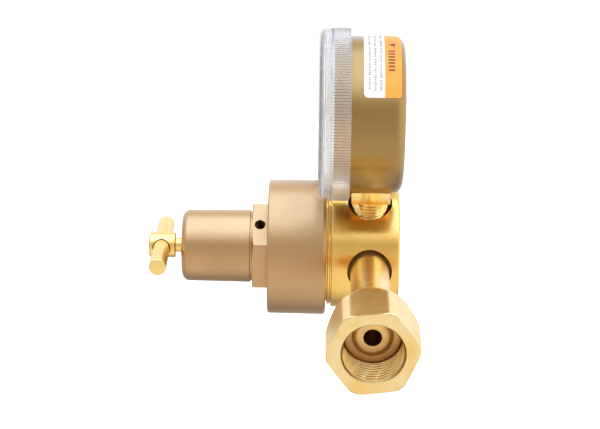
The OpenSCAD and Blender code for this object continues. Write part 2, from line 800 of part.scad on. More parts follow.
module supply_case() at_gauge(supply_gauge_port) gauge_case();
module supply_lens() at_gauge(supply_gauge_port) gauge_lens();
module supply_dial() at_gauge(supply_gauge_port) gauge_dial();
module supply_dial_screws() at_gauge(supply_gauge_port) gauge_dial_screws();
module supply_pointer() at_gauge(supply_gauge_port) gauge_pointer();
module supply_arbor() at_gauge(supply_gauge_port) gauge_arbor();
module supply_sector() at_gauge(supply_gauge_port) gauge_sector();
module supply_link() at_gauge(supply_gauge_port) gauge_link();
module supply_movement() at_gauge(supply_gauge_port) gauge_movement();
module supply_tube() at_gauge(supply_gauge_port) gauge_tube();
module supply_socket() at_port(supply_gauge_port) gauge_socket();
module delivery_case() at_gauge(delivery_gauge_port) gauge_case();
module delivery_lens() at_gauge(delivery_gauge_port) gauge_lens();
module delivery_dial() at_gauge(delivery_gauge_port) gauge_dial();
module delivery_dial_screws() at_gauge(delivery_gauge_port) gauge_dial_screws();
module delivery_pointer() at_gauge(delivery_gauge_port) gauge_pointer();
module delivery_arbor() at_gauge(delivery_gauge_port) gauge_arbor();
module delivery_sector() at_gauge(delivery_gauge_port) gauge_sector();
module delivery_link() at_gauge(delivery_gauge_port) gauge_link();
module delivery_movement() at_gauge(delivery_gauge_port) gauge_movement();
module delivery_tube() at_gauge(delivery_gauge_port) gauge_tube();
module delivery_socket() at_port(delivery_gauge_port) gauge_socket();

body_block();
bonnet();
slip_ring();
diaphragm();
diaphragm_plate();
diaphragm_button();
range_spring();
spring_button();
adjusting_screw();
tommy_bar();
valve_nozzle();
nozzle_washer();
valve_poppet();
poppet_seat();
poppet_spring();
inlet_nipple();
inlet_nut();
inlet_filter();
filter_ring();
outlet_fitting();
relief_body();
relief_poppet();
relief_seal();
relief_spring();
relief_cap();
supply_case();
supply_lens();
supply_dial();
supply_dial_screws();
supply_pointer();
supply_arbor();
supply_sector();
supply_link();
supply_movement();
supply_tube();
supply_socket();
case_label();
delivery_case();
delivery_lens();
delivery_dial();
delivery_dial_screws();
delivery_pointer();
delivery_arbor();
delivery_sector();
delivery_link();
delivery_movement();
delivery_tube();
delivery_socket();
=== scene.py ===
"""Looks of the gas regulator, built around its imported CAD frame.

Numbers are in millimetres and degrees, and MM turns millimetres into Blender's metres.
"""

import json
import math

import bmesh
import bpy
import numpy as np
from mathutils import Matrix, Vector


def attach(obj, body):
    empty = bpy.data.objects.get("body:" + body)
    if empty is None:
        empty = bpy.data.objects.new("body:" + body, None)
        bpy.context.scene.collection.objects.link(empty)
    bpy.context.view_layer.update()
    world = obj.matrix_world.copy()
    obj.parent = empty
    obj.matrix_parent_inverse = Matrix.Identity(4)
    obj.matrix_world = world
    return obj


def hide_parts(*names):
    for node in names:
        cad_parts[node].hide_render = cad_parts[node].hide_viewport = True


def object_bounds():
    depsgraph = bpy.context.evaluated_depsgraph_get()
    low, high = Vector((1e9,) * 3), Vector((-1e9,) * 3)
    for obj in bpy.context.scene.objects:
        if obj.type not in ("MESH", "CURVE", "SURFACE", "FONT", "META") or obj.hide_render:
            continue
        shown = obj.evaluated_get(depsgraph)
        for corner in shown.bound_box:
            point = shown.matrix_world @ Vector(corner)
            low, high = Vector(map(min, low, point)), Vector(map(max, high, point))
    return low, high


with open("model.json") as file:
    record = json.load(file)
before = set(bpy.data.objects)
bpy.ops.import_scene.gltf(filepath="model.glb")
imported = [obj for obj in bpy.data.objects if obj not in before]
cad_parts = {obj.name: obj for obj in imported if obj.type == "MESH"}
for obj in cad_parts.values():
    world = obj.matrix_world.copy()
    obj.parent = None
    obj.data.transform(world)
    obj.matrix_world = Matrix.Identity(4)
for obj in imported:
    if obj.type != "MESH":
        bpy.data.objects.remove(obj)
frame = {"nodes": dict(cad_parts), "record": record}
cad_box = [list(corner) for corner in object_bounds()]

MM = 0.001
TURN = 2 * math.pi
SHARP_EDGE = math.radians(32)
BEVELLED_EDGE = math.radians(25)
FILLET_STEP = 9
OVERCUT = 2
record = frame["record"]
joints = {j["name"]: j for j in record["behaviour"]["joints"]}

# ---------------------------------------------------------------- places, from the frame

PORT_STEP = 72
SUPPLY_GAUGE, INLET, RELIEF, OUTLET, DELIVERY_GAUGE = range(5)
body_point = Vector(joints["screw_turn"]["pos_m"])


def spin_x(degrees):
    return Matrix.Rotation(math.radians(degrees), 4, "X")


def port_frame(port):
    """Local Z leaves the body along that port."""
    return Matrix.Translation(body_point) @ spin_x(PORT_STEP / 2 + PORT_STEP * port)


Z_TO_X = Matrix.Rotation(math.pi / 2, 4, "Y")
BODY_FRAME = Matrix.Translation(body_point) @ Z_TO_X
GAUGES = {"supply": SUPPLY_GAUGE, "delivery": DELIVERY_GAUGE}


def gauge_frame(side):
    """Centre of a gauge: local X is the part's X, local Z points away from the body."""
    centre = Vector(joints[side + "_needle_turn"]["pos_m"])
    return Matrix.Translation(centre) @ spin_x(PORT_STEP / 2 + PORT_STEP * GAUGES[side])


# ---------------------------------------------------------------- mesh tools


def finished(name, verts, faces, place, material):
    """An object from local points in millimetres and the faces between them."""
    mesh = bpy.data.meshes.new(name)
    mesh.from_pydata([place @ Vector(v * MM) for v in np.asarray(verts, float)], [], faces)
    cleaner = bmesh.new()
    cleaner.from_mesh(mesh)
    bmesh.ops.remove_doubles(cleaner, verts=cleaner.verts, dist=1e-7)
    bmesh.ops.recalc_face_normals(cleaner, faces=cleaner.faces)
    cleaner.to_mesh(mesh)
    cleaner.free()
    return shown(name, mesh, material)


def shown(name, mesh, material):
    """An object in the scene, smooth shaded but for its sharp edges."""
    mesh.shade_smooth()
    mesh.set_sharp_from_angle(angle=SHARP_EDGE)
    made = bpy.data.objects.new(name, mesh)
    bpy.context.scene.collection.objects.link(made)
    made.data.materials.append(material)
    return made


def joined(name, parts):
    """One object from several with the same material."""
    mesh = bmesh.new()
    for part in parts:
        mesh.from_mesh(part.data)
    parts[0].data.name = name
    mesh.to_mesh(parts[0].data)
    mesh.free()
    for part in parts[1:]:
        bpy.data.objects.remove(part)
    parts[0].name = name
    parts[0].data.set_sharp_from_angle(angle=SHARP_EDGE)
    return parts[0]


def filleted(points):
    """Outline points, with each corner that has a third value rounded to that radius."""
    out = []
    for i, point in enumerate(points):
        if len(point) < 3 or point[2] == 0:
            out.append(np.array(point[:2], float))
            continue
        before = np.array(points[i - 1][:2], float)
        corner = np.array(point[:2], float)
        after = np.array(points[(i + 1) % len(points)][:2], float)
        u = (before - corner) / np.linalg.norm(before - corner)
        v = (after - corner) / np.linalg.norm(after - corner)
        inside = math.acos(max(-1, min(1, u @ v)))
        middle = corner + (u + v) / np.linalg.norm(u + v) * point[2] / math.sin(inside / 2)
        start = corner + u * point[2] / math.tan(inside / 2) - middle
        end = corner + v * point[2] / math.tan(inside / 2) - middle
        swept = math.pi - inside
        steps = max(2, math.ceil(math.degrees(swept) / FILLET_STEP))
        for k in range(steps + 1):
            t = k / steps
            out.append(middle + (math.sin((1 - t) * swept) * start + math.sin(t * swept) * end)
                       / math.sin(swept))
    return out


def divided(points, stretches, closed):
    """The outline with more points where a stretch (low, high, spacing) along the axis asks."""
    out = []
    count = len(points)
    for i in range(count if closed else count - 1):
        a, b = points[i], points[(i + 1) % count]
        out.append(a)
        middle = (a[1] + b[1]) / 2
        spacing = min([s for low, high, s in stretches if low <= middle <= high], default=None)
        if spacing:
            pieces = math.ceil(np.linalg.norm(b - a) / spacing)
            out += [a + (b - a) * k / pieces for k in range(1, pieces)]
    if not closed:
        out.append(points[-1])
    return out


def turned(name, outline, place, material, segments, shape=None, fine=(), closed=False):
    """A solid turned about local Z from (radius, along) points, some with a fillet as a third
    value. shape(radius, along, angle) returns the radius that threads, ribs or flats leave."""
    points = np.array(divided(filleted(outline), fine, closed))
    angle = np.linspace(0, TURN, segments, endpoint=False)
    radius = np.repeat(points[:, :1], segments, axis=1)
    along = np.repeat(points[:, 1:], segments, axis=1)
    if shape:
        radius = shape(radius, along, angle[None, :])
    ring = np.stack([radius * np.cos(angle), radius * np.sin(angle), along], axis=2)
    verts = ring.reshape(-1, 3)
    rows = len(points)
    faces = []
    for i in range(rows if closed else rows - 1):
        low, high = i * segments, (i + 1) % rows * segments
        for j in range(segments):
            k = (j + 1) % segments
            faces.append((low + j, low + k, high + k, high + j))
    return finished(name, verts, faces, place, material)


def smooth_min(a, b, width):
    """The smaller of two radii, rounded where they meet."""
    share = np.clip(0.5 + 0.5 * (b - a) / width, 0, 1)
    return b + (a - b) * share - width * share * (1 - share)


HEX_EDGE, LEAST_FACING, FAR_OUT = 0.35, 0.2, 1e3


def hexagon(radius, angle, across, turn=0):
    """The radius left by a hexagonal bar's flats, with slightly rounded corners."""
    for k in range(6):
        facing = np.cos(angle - math.radians(turn + 30 + 60 * k))
        flat = np.where(facing > LEAST_FACING, across / 2 / np.maximum(facing, LEAST_FACING),
                        FAR_OUT)
        radius = smooth_min(radius, flat, HEX_EDGE)
    return radius


def thread_depth(along, angle, pitch, crest=0.125, root=0.2):
    """0 on the crest and 1 in the root of a right-hand thread."""
    phase = np.abs((along / pitch - angle / TURN + 0.5) % 1 - 0.5) * 2
    return np.clip((phase - crest) / (1 - crest - root), 0, 1)


def between(along, low, high, fade):
    """1 inside a stretch, fading to 0 at both ends."""
    return np.clip(np.minimum(along - low, high - along) / fade, 0, 1)


def cut(target, *cutters):
    """Takes closed cutters out of an object. The cut faces keep the cutter's material."""
    for cutter in cutters:
        trim = target.modifiers.new("cut", "BOOLEAN")
        trim.operation = "DIFFERENCE"
        trim.solver = "EXACT"
        trim.material_mode = "TRANSFER"
        trim.object = cutter
        bpy.context.view_layer.objects.active = target
        with bpy.context.temp_override(object=target, active_object=target):
            bpy.ops.object.modifier_apply(modifier=trim.name)
        bpy.data.objects.remove(cutter)
    target.data.set_sharp_from_angle(angle=SHARP_EDGE)
    return target


def repainted(piece, place, material, chosen):
    """Another material on the faces whose (radius, along, angle) about local Z is chosen."""
    piece.data.materials.append(material)
    to_local = place.inverted()
    for face in piece.data.polygons:
        point = to_local @ face.center / MM
        if chosen(math.hypot(point.x, point.y), point.z, math.atan2(point.y, point.x)):
            face.material_index = len(piece.data.materials) - 1
    return piece


def rectangle(x, y):
    """An outline from its half widths."""
    return [(-x, -y), (x, -y), (x, y), (-x, y)]


def prism(name, outline, low, high, place, material, bevel=0.0):
    """A flat piece: an outline in local X and Y, from low to high along local Z."""
    mesh = bmesh.new()
    base = [mesh.verts.new((x, y, low)) for x, y in outline]
    face = mesh.faces.new(base)
    grown = bmesh.ops.extrude_face_region(mesh, geom=[face])
    top = [v for v in grown["geom"] if isinstance(v, bmesh.types.BMVert)]
    bmesh.ops.translate(mesh, verts=top, vec=(0, 0, high - low))
    bmesh.ops.recalc_face_normals(mesh, faces=mesh.faces)
    if bevel:
        edges = [e for e in mesh.edges if e.calc_face_angle(0) > BEVELLED_EDGE]
        bmesh.ops.bevel(mesh, geom=edges, offset=bevel, segments=2, profile=0.5,
                        affect="EDGES", clamp_overlap=True)
    mesh.transform(Matrix.Scale(MM, 4))
    mesh.transform(place)
    data = bpy.data.meshes.new(name)
    mesh.to_mesh(data)
    mesh.free()
    return shown(name, data, material)


def stands_for(piece, body, material_slot, *nodes):
    """Ties a piece to its body and hides the CAD nodes it replaces; material_slot is not used."""
    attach(piece, body)
    if nodes:
        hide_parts(*nodes)
    return piece


# ---------------------------------------------------------------- materials


class Shader:
    """A material's node tree, with short names for the nodes this object uses."""

    def __init__(self, name):
        self.material = bpy.data.materials.new(name)
        self.material.use_nodes = True
        self.tree = self.material.node_tree
        self.nodes = self.tree.nodes
        self.surface = self.nodes["Principled BSDF"]
        self.points = self.nodes.new("ShaderNodeTexCoord").outputs["Object"]

    def link(self, a, b):
        self.tree.links.new(a, b)

    def scaled(self, scale, turn=0):
        """Object coordinates turned about X, then scaled."""
        turned_to = self.nodes.new("ShaderNodeMapping")
        turned_to.inputs["Rotation"].default_value = (math.radians(turn), 0, 0)
        self.link(self.points, turned_to.inputs["Vector"])
        stretched = self.nodes.new("ShaderNodeMapping")
        stretched.inputs["Scale"].default_value = scale
        self.link(turned_to.outputs["Vector"], stretched.inputs["Vector"])
        return stretched.outputs["Vector"]

    def noise(self, vector, scale=1.0, detail=4.0, rough=0.55):
        made = self.nodes.new("ShaderNodeTexNoise")
        made.inputs["Scale"].default_value = scale
        made.inputs["Detail"].default_value = detail
        made.inputs["Roughness"].default_value = rough
        self.link(vector, made.inputs["Vector"])
        return made.outputs["Fac"]

    def ramp(self, value, *stops):
        made = self.nodes.new("ShaderNodeValToRGB")
        while len(made.color_ramp.elements) < len(stops):
            made.color_ramp.elements.new(0.5)
        for element, (place, colour) in zip(made.color_ramp.elements, stops):
            element.position = place
            element.color = (*colour, 1)
        self.link(value, made.inputs["Fac"])
        return made.outputs["Color"]

    def spread(self, value, low, high, start=0.3, end=0.7):
        """A value between start and end, mapped to between low and high."""
        made = self.nodes.new("ShaderNodeMapRange")
        for key, number in (("From Min", start), ("From Max", end), ("To Min", low),
                            ("To Max", high)):
            made.inputs[key].default_value = number
        self.link(value, made.inputs["Value"])
        return made.outputs["Result"]

    def mixed(self, fraction, a, b):
        made = self.nodes.new("ShaderNodeMix")
        made.data_type = "RGBA"
        self.link(fraction, made.inputs["Factor"])
        for socket, value in ((made.inputs["A"], a), (made.inputs["B"], b)):
            if isinstance(value, tuple):
                socket.default_value = (*value, 1)
            else:
                self.link(value, socket)
        return made.outputs["Result"]

    def bump(self, height, strength, distance, under=None):
        made = self.nodes.new("ShaderNodeBump")
        made.inputs["Strength"].default_value = strength
        made.inputs["Distance"].default_value = distance
        self.link(height, made.inputs["Height"])
        if under:
            self.link(under, made.inputs["Normal"])
        return made.outputs["Normal"]

    def set(self, **constants):
        for key, value in constants.items():
            self.surface.inputs[key.replace("_", " ")].default_value = value

    def feed(self, **sources):
        for key, source in sources.items():
            self.link(source, self.surface.inputs[key.replace("_", " ")])


def brass(name, light, dark, lines, turn=0, smooth=0.16, rough=0.3, marks=0.5, pits=0.0,
          lacquer=0.0, blotch=45):
    """Machined brass. lines is the noise scale along each axis: the tool marks run across
    the axis with the largest one. turn tilts them onto a port's axis."""
    made = Shader(name)
    marks_at = made.scaled(lines, -turn)
    blotches = made.noise(made.scaled((blotch, blotch, blotch)), detail=3)
    fine = made.noise(marks_at, detail=5, rough=0.7)
    made.feed(
        Base_Color=made.mixed(made.spread(blotches, 0, 1, 0.35, 0.7), light, dark),
        Roughness=made.spread(fine, smooth, rough),
    )
    normal = made.bump(fine, marks, 0.00002)
    if pits:
        speckle = made.noise(made.scaled((900, 900, 900)), detail=2)
        normal = made.bump(made.spread(speckle, 0, 1, 0.38, 0.5), pits, 0.00006, normal)
    made.feed(Normal=normal)
    made.set(Metallic=1.0, Coat_Weight=lacquer, Coat_Roughness=0.15)
    return made.material


def metallic_paint(name, base, shade, flake):
    """Satin metallic paint over a machined casting, with faint turning lines."""
    made = Shader(name)
    cloud = made.noise(made.scaled((60, 60, 60)), detail=3)
    flakes = made.noise(made.scaled((5200, 5200, 5200)), detail=1)
    rings = made.noise(made.scaled((900, 12, 12)), detail=3)
    colour = made.mixed(made.spread(cloud, 0, 1), base, shade)
    made.feed(
        Base_Color=made.mixed(made.spread(flakes, 0, 0.35, 0.55, 0.75), colour, flake),
        Roughness=made.spread(cloud, 0.34, 0.42),
        Normal=made.bump(rings, 0.12, 0.00003, made.bump(flakes, 0.15, 0.00001)),
    )
    made.set(Metallic=1.0, Coat_Weight=0.3, Coat_Roughness=0.25)
    return made.material


def plain(name, base, shade, rough, metallic=0.0):
    """A simple material with slight mottling and grain."""
    made = Shader(name)
    mottle = made.noise(made.scaled((300, 300, 300)), detail=4)
    made.feed(
        Base_Color=made.mixed(made.spread(mottle, 0, 1), base, shade),
        Roughness=made.spread(mottle, rough * 0.85, rough * 1.15),
        Normal=made.bump(mottle, 0.1, 0.00002),
    )
    made.set(Metallic=metallic)
    return made.material


def clear_plastic(name, clear, cloudy):
    """Clear moulded plastic, bending light less than a solid block would."""
    made = Shader(name)
    haze = made.noise(made.scaled((120, 120, 120)), detail=2)
    made.feed(
        Base_Color=made.mixed(made.spread(haze, 0, 1), clear, cloudy),
        Roughness=made.spread(haze, 0.08, 0.16),
        Normal=made.bump(haze, 0.05, 0.00005),
    )
    made.set(IOR=1.22, Transmission_Weight=0.9, Coat_Weight=0.5, Coat_Roughness=0.03)
    made.surface.inputs["Specular Tint"].default_value = (1, 0.93, 0.82, 1)
    return made.material


BRASS_LIGHT, BRASS_DARK = (0.98, 0.62, 0.18), (0.9, 0.52, 0.12)
GOLD_LIGHT, GOLD_DARK = (1.0, 0.72, 0.27), (0.95, 0.62, 0.19)
INLET_TURN = PORT_STEP / 2 + PORT_STEP * INLET
OUTLET_TURN = PORT_STEP / 2 + PORT_STEP * OUTLET

body_brass = brass("body_brass", BRASS_LIGHT, BRASS_DARK, (900, 30, 30), marks=0.1,
                   smooth=0.18, rough=0.26, pits=0.1)
nut_brass = brass("nut_brass", (1.0, 0.79, 0.41), (0.97, 0.64, 0.22), (60, 60, 600),
                  INLET_TURN, smooth=0.28, rough=0.4, marks=0.12, blotch=130)
stem_brass = brass("stem_brass", (1.0, 0.77, 0.4), (0.95, 0.69, 0.32), (60, 60, 900),
                   INLET_TURN, smooth=0.26, rough=0.38, marks=0.15)
outlet_brass = brass("outlet_brass", BRASS_LIGHT, BRASS_DARK, (60, 60, 900), OUTLET_TURN)
relief_brass = brass("relief_brass", BRASS_LIGHT, BRASS_DARK, (60, 60, 900))
turned_brass = brass("turned_brass", GOLD_LIGHT, GOLD_DARK, (900, 60, 60), smooth=0.2,
                     rough=0.34, marks=0.2)
socket_brass = brass("socket_brass", GOLD_LIGHT, BRASS_LIGHT, (300, 300, 300), smooth=0.14,
                     rough=0.26)
case_brass = brass("case_brass", (0.41, 0.245, 0.07), (0.38, 0.225, 0.06), (500, 20, 20),
                   smooth=0.3, rough=0.38, marks=0.05, lacquer=0.6)
bronze_paint = metallic_paint("bronze_paint", (0.6, 0.36, 0.165), (0.56, 0.335, 0.15),
                              (0.75, 0.5, 0.27))
lens_plastic = clear_plastic("clear_plastic", (0.99, 0.98, 0.97), (0.96, 0.955, 0.95))
# painted shade: darker, brownish plastic for the lens ribs' groove faces, standing in for the dark
# lines the ribs make by refraction
groove_shade_plastic = clear_plastic("groove_shade_plastic", (0.6, 0.52, 0.42), (0.55, 0.47, 0.37))
steel = plain("spring_steel", (0.42, 0.42, 0.44), (0.3, 0.3, 0.32), 0.35, metallic=1.0)
rubber = plain("black_rubber", (0.02, 0.02, 0.02), (0.035, 0.035, 0.035), 0.7)
seat_plastic = plain("white_plastic", (0.8, 0.79, 0.74), (0.72, 0.71, 0.66), 0.45)
dial_white = plain("dial_white", (0.9, 0.9, 0.87), (0.86, 0.86, 0.83), 0.4)
print_black = plain("print_black", (0.02, 0.02, 0.02), (0.04, 0.04, 0.04), 0.5)
print_red = plain("print_red", (0.55, 0.03, 0.02), (0.48, 0.02, 0.02), 0.5)
print_grey = plain("print_grey", (0.3, 0.3, 0.32), (0.4, 0.4, 0.42), 0.6)
print_brown = plain("print_brown", (0.2, 0.06, 0.01), (0.26, 0.08, 0.015), 0.6)
needle_black = plain("needle_black", (0.02, 0.02, 0.02), (0.03, 0.03, 0.03), 0.35)
label_white = plain("label_white", (0.88, 0.88, 0.86), (0.84, 0.84, 0.82), 0.42)
label_orange = plain("label_orange", (0.87, 0.37, 0.045), (0.83, 0.33, 0.035), 0.42)
# painted shade: a darker, more saturated brass for the faces inside the nut's bore and for the
# stem's front inside it, standing in for the shade there
bore_shade_brass = brass("bore_shade_brass", (0.98, 0.68, 0.28), (0.92, 0.58, 0.2), (300, 300, 300),
                   smooth=0.35, rough=0.5, marks=0.2)
# painted shade: darker brass for the nut's thread roots, standing in for the shade in the thread
# grooves
root_shade_brass = brass("root_shade_brass", (0.55, 0.3, 0.1), (0.45, 0.24, 0.07), (300, 300, 300),
                   smooth=0.4, rough=0.55, marks=0.2)
# painted shade: near-black brass for the walls and floors of the body's ports and passages and of
# the handle's bar hole, standing in for the shade inside these holes
hole_shade_brass = brass("hole_shade_brass", (0.22, 0.1, 0.03), (0.16, 0.07, 0.02), (300, 300, 300),
                   smooth=0.4, rough=0.55, marks=0.2)
copper = brass("copper", (0.8, 0.4, 0.25), (0.7, 0.33, 0.2), (900, 60, 60))

FRAME_LOOKS = {
    "brass": turned_brass, "bright_brass": turned_brass, "bronze_paint": bronze_paint,
    "case_brass": case_brass, "copper": copper, "spring_steel": steel,
    "black_rubber": rubber, "white_plastic": seat_plastic, "clear_plastic": lens_plastic,
    "white_enamel": dial_white, "black_enamel": needle_black, "label": label_white,
}
node_slots = {s["node"]: s["material_slot"] for s in record["subparts"]}
for node_name, node_object in frame["nodes"].items():
    node_object.data.materials.clear()
    node_object.data.materials.append(FRAME_LOOKS[node_slots[node_name]])

# ---------------------------------------------------------------- body

BODY_R, BODY_REAR, BODY_FRONT = 22.3, 11.0, -14.0
FLANGE_R, FLANGE_FRONT, FLANGE_GROOVE, BODY_NECK_R = 21.3, -15.5, 0.4, 20.2
SPIGOT_R, SPIGOT_REAR, SPIGOT_FRONT = 20.6, -18.0, -27.0
CHAMBER_R, CHAMBER_FLOOR, CAVITY_R, CAVITY_REAR = 14.5, -20.5, 6.0, 4.5
PORT_R, PORT_FLOOR, COUNTERBORE_R, COUNTERBORE_FLOOR = 6.9, 11.5, 8.2, 17.6
PASSAGE_R, PASSAGE_REACH, PASSAGE_START = 1.2, 12.9, 1.0
INLET_FLOOR = 20.2
FITTING_FOOT, FITTING_R = 12.0, PORT_R - 0.05


def make_body():
    groove = FLANGE_R - FLANGE_GROOVE
    body = turned("body_bar", [
        (0, BODY_REAR), (BODY_R, BODY_REAR, 1.0), (BODY_R, BODY_FRONT, 0.3),
        (groove, BODY_FRONT), (groove, BODY_FRONT - FLANGE_GROOVE),
        (FLANGE_R, BODY_FRONT - FLANGE_GROOVE, 0.3), (FLANGE_R, FLANGE_FRONT, 0.3),
        (BODY_NECK_R, FLANGE_FRONT), (BODY_NECK_R, SPIGOT_REAR), (SPIGOT_R, SPIGOT_REAR),
        (SPIGOT_R, SPIGOT_FRONT, 0.3), (CHAMBER_R, SPIGOT_FRONT), (CHAMBER_R, CHAMBER_FLOOR),
        (CAVITY_R, CHAMBER_FLOOR), (CAVITY_R, CAVITY_REAR), (0, CAVITY_REAR)],
        BODY_FRAME, body_brass, 360)
    # Each port and passage cutter leaves its cut walls in a near-black brass: painted shade inside
    # the holes.
    holes = []
    for port in (SUPPLY_GAUGE, INLET, RELIEF, OUTLET, DELIVERY_GAUGE):
        floor = INLET_FLOOR if port == INLET else COUNTERBORE_FLOOR
        holes.append(turned("port", [
            (0, PORT_FLOOR), (PORT_R, PORT_FLOOR), (PORT_R, floor), (COUNTERBORE_R, floor),
            (COUNTERBORE_R, BODY_R + OVERCUT), (0, BODY_R + OVERCUT)],
            port_frame(port), hole_shade_brass, 160))
        if port in (SUPPLY_GAUGE, INLET):
            place, low, high = port_frame(port), PASSAGE_START, PORT_FLOOR + 1
        else:
            place = port_frame(port) @ Matrix.Translation((0, 0, PASSAGE_REACH * MM)) @ Z_TO_X
            low, high = CHAMBER_FLOOR - 0.5, 0.5
        holes.append(turned("passage", [(0, low), (PASSAGE_R, low), (PASSAGE_R, high),
                                        (0, high)], place, hole_shade_brass, 32))
    stands_for(cut(body, *holes), "root", "brass", "body_block")


make_body()

# ---------------------------------------------------------------- bonnet

RING_REAR, RING_FRONT, HEX_FRONT, BARREL_FRONT = -16.0, -37.6, -43.5, -69.9
RING_R, BARREL_R, BARREL_REAR_R, END_WALL = 25.0, 13.3, 13.55, 5.4
BONNET_HEX, HEX_TURN = 31.1, 24.0
BARREL_GROOVE, BARREL_GROOVE_DEPTH = 0.7, 0.6
SCREW_HOLE_R, SPRING_BORE_R, BONNET_BORE_R = 4.0, 10.6, 20.63
BONNET_SHELF, SPRING_ROOM_R, SPRING_ROOM_FRONT = -29.0, 17.5, -35.5
VENT_X, VENT_TURN, VENT_R, VENT_LOW, VENT_HIGH = -40.5, 54.0, 2.0, 8, 18


def bonnet_flats(radius, along, angle):
    on_hex = (along > HEX_FRONT - 0.01) & (along < RING_FRONT - 0.01) & (radius > BARREL_R + 0.6)
    chamfered = smooth_min(radius, BONNET_HEX / 2 + (along - HEX_FRONT) * 3.3, 0.3)
    return np.where(on_hex, hexagon(chamfered, angle, BONNET_HEX, HEX_TURN), radius)


def make_bonnet():
    corner = BONNET_HEX / 2 + 3.2
    groove = BARREL_REAR_R - BARREL_GROOVE_DEPTH
    outline = [
        (SCREW_HOLE_R, BARREL_FRONT + END_WALL), (SCREW_HOLE_R, BARREL_FRONT, 0.4),
        (6.5, BARREL_FRONT, 4), (BARREL_R, BARREL_FRONT + 0.3, 2.8),
        (BARREL_REAR_R, HEX_FRONT - BARREL_GROOVE, 0.25), (groove, HEX_FRONT - BARREL_GROOVE),
        (groove, HEX_FRONT), (corner, HEX_FRONT), (corner, RING_FRONT - 0.02),
        (RING_R, RING_FRONT, 0.8), (RING_R + 0.2, RING_REAR, 1.2),
        (BONNET_BORE_R, RING_REAR, 0.4), (BONNET_BORE_R, BONNET_SHELF),
        (SPRING_ROOM_R, BONNET_SHELF), (SPRING_ROOM_R, SPRING_ROOM_FRONT),
        (SPRING_BORE_R, SPRING_ROOM_FRONT), (SPRING_BORE_R, BARREL_FRONT + END_WALL),
    ]
    bonnet = turned("bonnet_shell", outline, BODY_FRAME, bronze_paint, 720, bonnet_flats,
                    fine=[(HEX_FRONT - 0.01, RING_FRONT + 0.01, 0.25)], closed=True)
    vents = []
    for turn in (0, 180):
        place = Matrix.Translation(body_point + Vector((VENT_X * MM, 0, 0))) @ spin_x(
            VENT_TURN + turn)
        vents.append(turned("vent", [
            (0, VENT_LOW), (VENT_R, VENT_LOW), (VENT_R, VENT_HIGH), (0, VENT_HIGH)], place,
            bronze_paint, 48))
    stands_for(cut(bonnet, *vents), "root", "bronze_paint", "bonnet")


make_bonnet()

# ---------------------------------------------------------------- handle

HUB_FRONT, HUB_REAR, HUB_R, NECK_R, HUB_CROWN = -82.7, -72.4, 4.7, 2.65, 0.1
BAR_R, BAR_LEN, BAR_DROP, BAR_HOLE_R = 3.2, 47.4, 15.5, 3.45
SCREW_R, SCREW_ROOT_R, SCREW_PITCH, SCREW_TIP_R = 3.95, 3.35, 25.4 / 18, 2.4
SCREW_SHOULDER, SCREW_TIP = -70.1, -57.0


def screw_thread(radius, along, angle):
    depth = thread_depth(along, angle, SCREW_PITCH)
    inside = between(along, SCREW_SHOULDER + 0.5, SCREW_TIP - 3.2, 0.6)
    return np.where(radius > SCREW_ROOT_R, radius - (SCREW_R - SCREW_ROOT_R) * depth * inside,
                    radius)


def make_handle():
    hub = turned("screw_hub", [
        (0, HUB_FRONT + HUB_CROWN), (2.4, HUB_FRONT + 2 * HUB_CROWN, 3),
        (HUB_R, HUB_FRONT + 5 * HUB_CROWN, 0.7), (HUB_R, HUB_REAR, 0.35),
        (NECK_R, HUB_REAR, 0.2), (NECK_R, SCREW_SHOULDER), (SCREW_R, SCREW_SHOULDER, 0.4),
        (SCREW_R, SCREW_TIP - 3, 0.2), (SCREW_TIP_R, SCREW_TIP - 1.5),
        (SCREW_TIP_R, SCREW_TIP, 0.3), (0, SCREW_TIP)], BODY_FRAME, turned_brass, 160,
        screw_thread, fine=[(SCREW_SHOULDER, SCREW_TIP, 0.1)])
    across = Matrix.Translation(
        body_point + Vector(((HUB_FRONT + HUB_REAR) / 2 * MM, 0, 0))) @ spin_x(90 + BAR_DROP)
    half = BAR_LEN / 2
    # The bar hole's cut walls take the same near-black brass: painted shade inside the hole.
    hole = turned("hole", [
        (0, -half), (BAR_HOLE_R, -half), (BAR_HOLE_R, half), (0, half)], across, hole_shade_brass, 96)
    stands_for(cut(hub, hole), "screw", "bright_brass", "adjusting_screw")
    bar = turned("cross_bar", [
        (0, -half), (BAR_R, -half, 1.7), (BAR_R, half, 0.55), (0, half)], across,
        turned_brass, 96)
    stands_for(bar, "screw", "bright_brass", "tommy_bar")


make_handle()

# ---------------------------------------------------------------- inlet

NUT_FACE, NUT_LENGTH = 89.8, 23
NUT_BACK = NUT_FACE - NUT_LENGTH
NUT_AF, NUT_TURN = 29.4, 6.8
NUT_MINOR_R, NUT_MAJOR_R, NUT_PITCH = 10.45, 11.45, 25.4 / 14
NUT_MOUTH, NUT_MOUTH_R = 1.2, 11.12
NUT_CORNER_R, NUT_BACK_BEVEL, NUT_FRONT_BEVEL, NUT_FACE_R = 16.2, 5.3, 0.4, 15.5
NUT_INSIDE, NUT_THREAD_LOW = NUT_BACK + 5.5, NUT_FACE - 14.6
STEM_R, STEM_GAP, BORE_R = 7.1, 0.06, 3.1
COLLAR_BASE, COLLAR_TOP, COLLAR_R = NUT_INSIDE + 0.3, NUT_FACE - 14, 10.0
NOSE_TOP, NOSE_R, NOSE_CROWN_R = NUT_FACE - 12.7, 7.05, 5.6
NOSE_STEP, NOSE_STEP_RISE = 0.5, 0.5
FILTER_TOP, FILTER_R = 34.0, 4.8


def nut_shape(radius, along, angle):
    outside = radius > NUT_MAJOR_R + 1.2
    flats = hexagon(radius, angle, NUT_AF, NUT_TURN)
    threaded = between(along, NUT_THREAD_LOW, NUT_FACE - NUT_MOUTH + 0.4, 0.8)
    grooves = radius + (NUT_MAJOR_R - NUT_MINOR_R) * threaded * (
        1 - thread_depth(along, angle, NUT_PITCH, 0.2, 0.15))
    in_bore = np.abs(radius - NUT_MINOR_R) < 0.02
    return np.where(outside, flats, np.where(in_bore, grooves, radius))


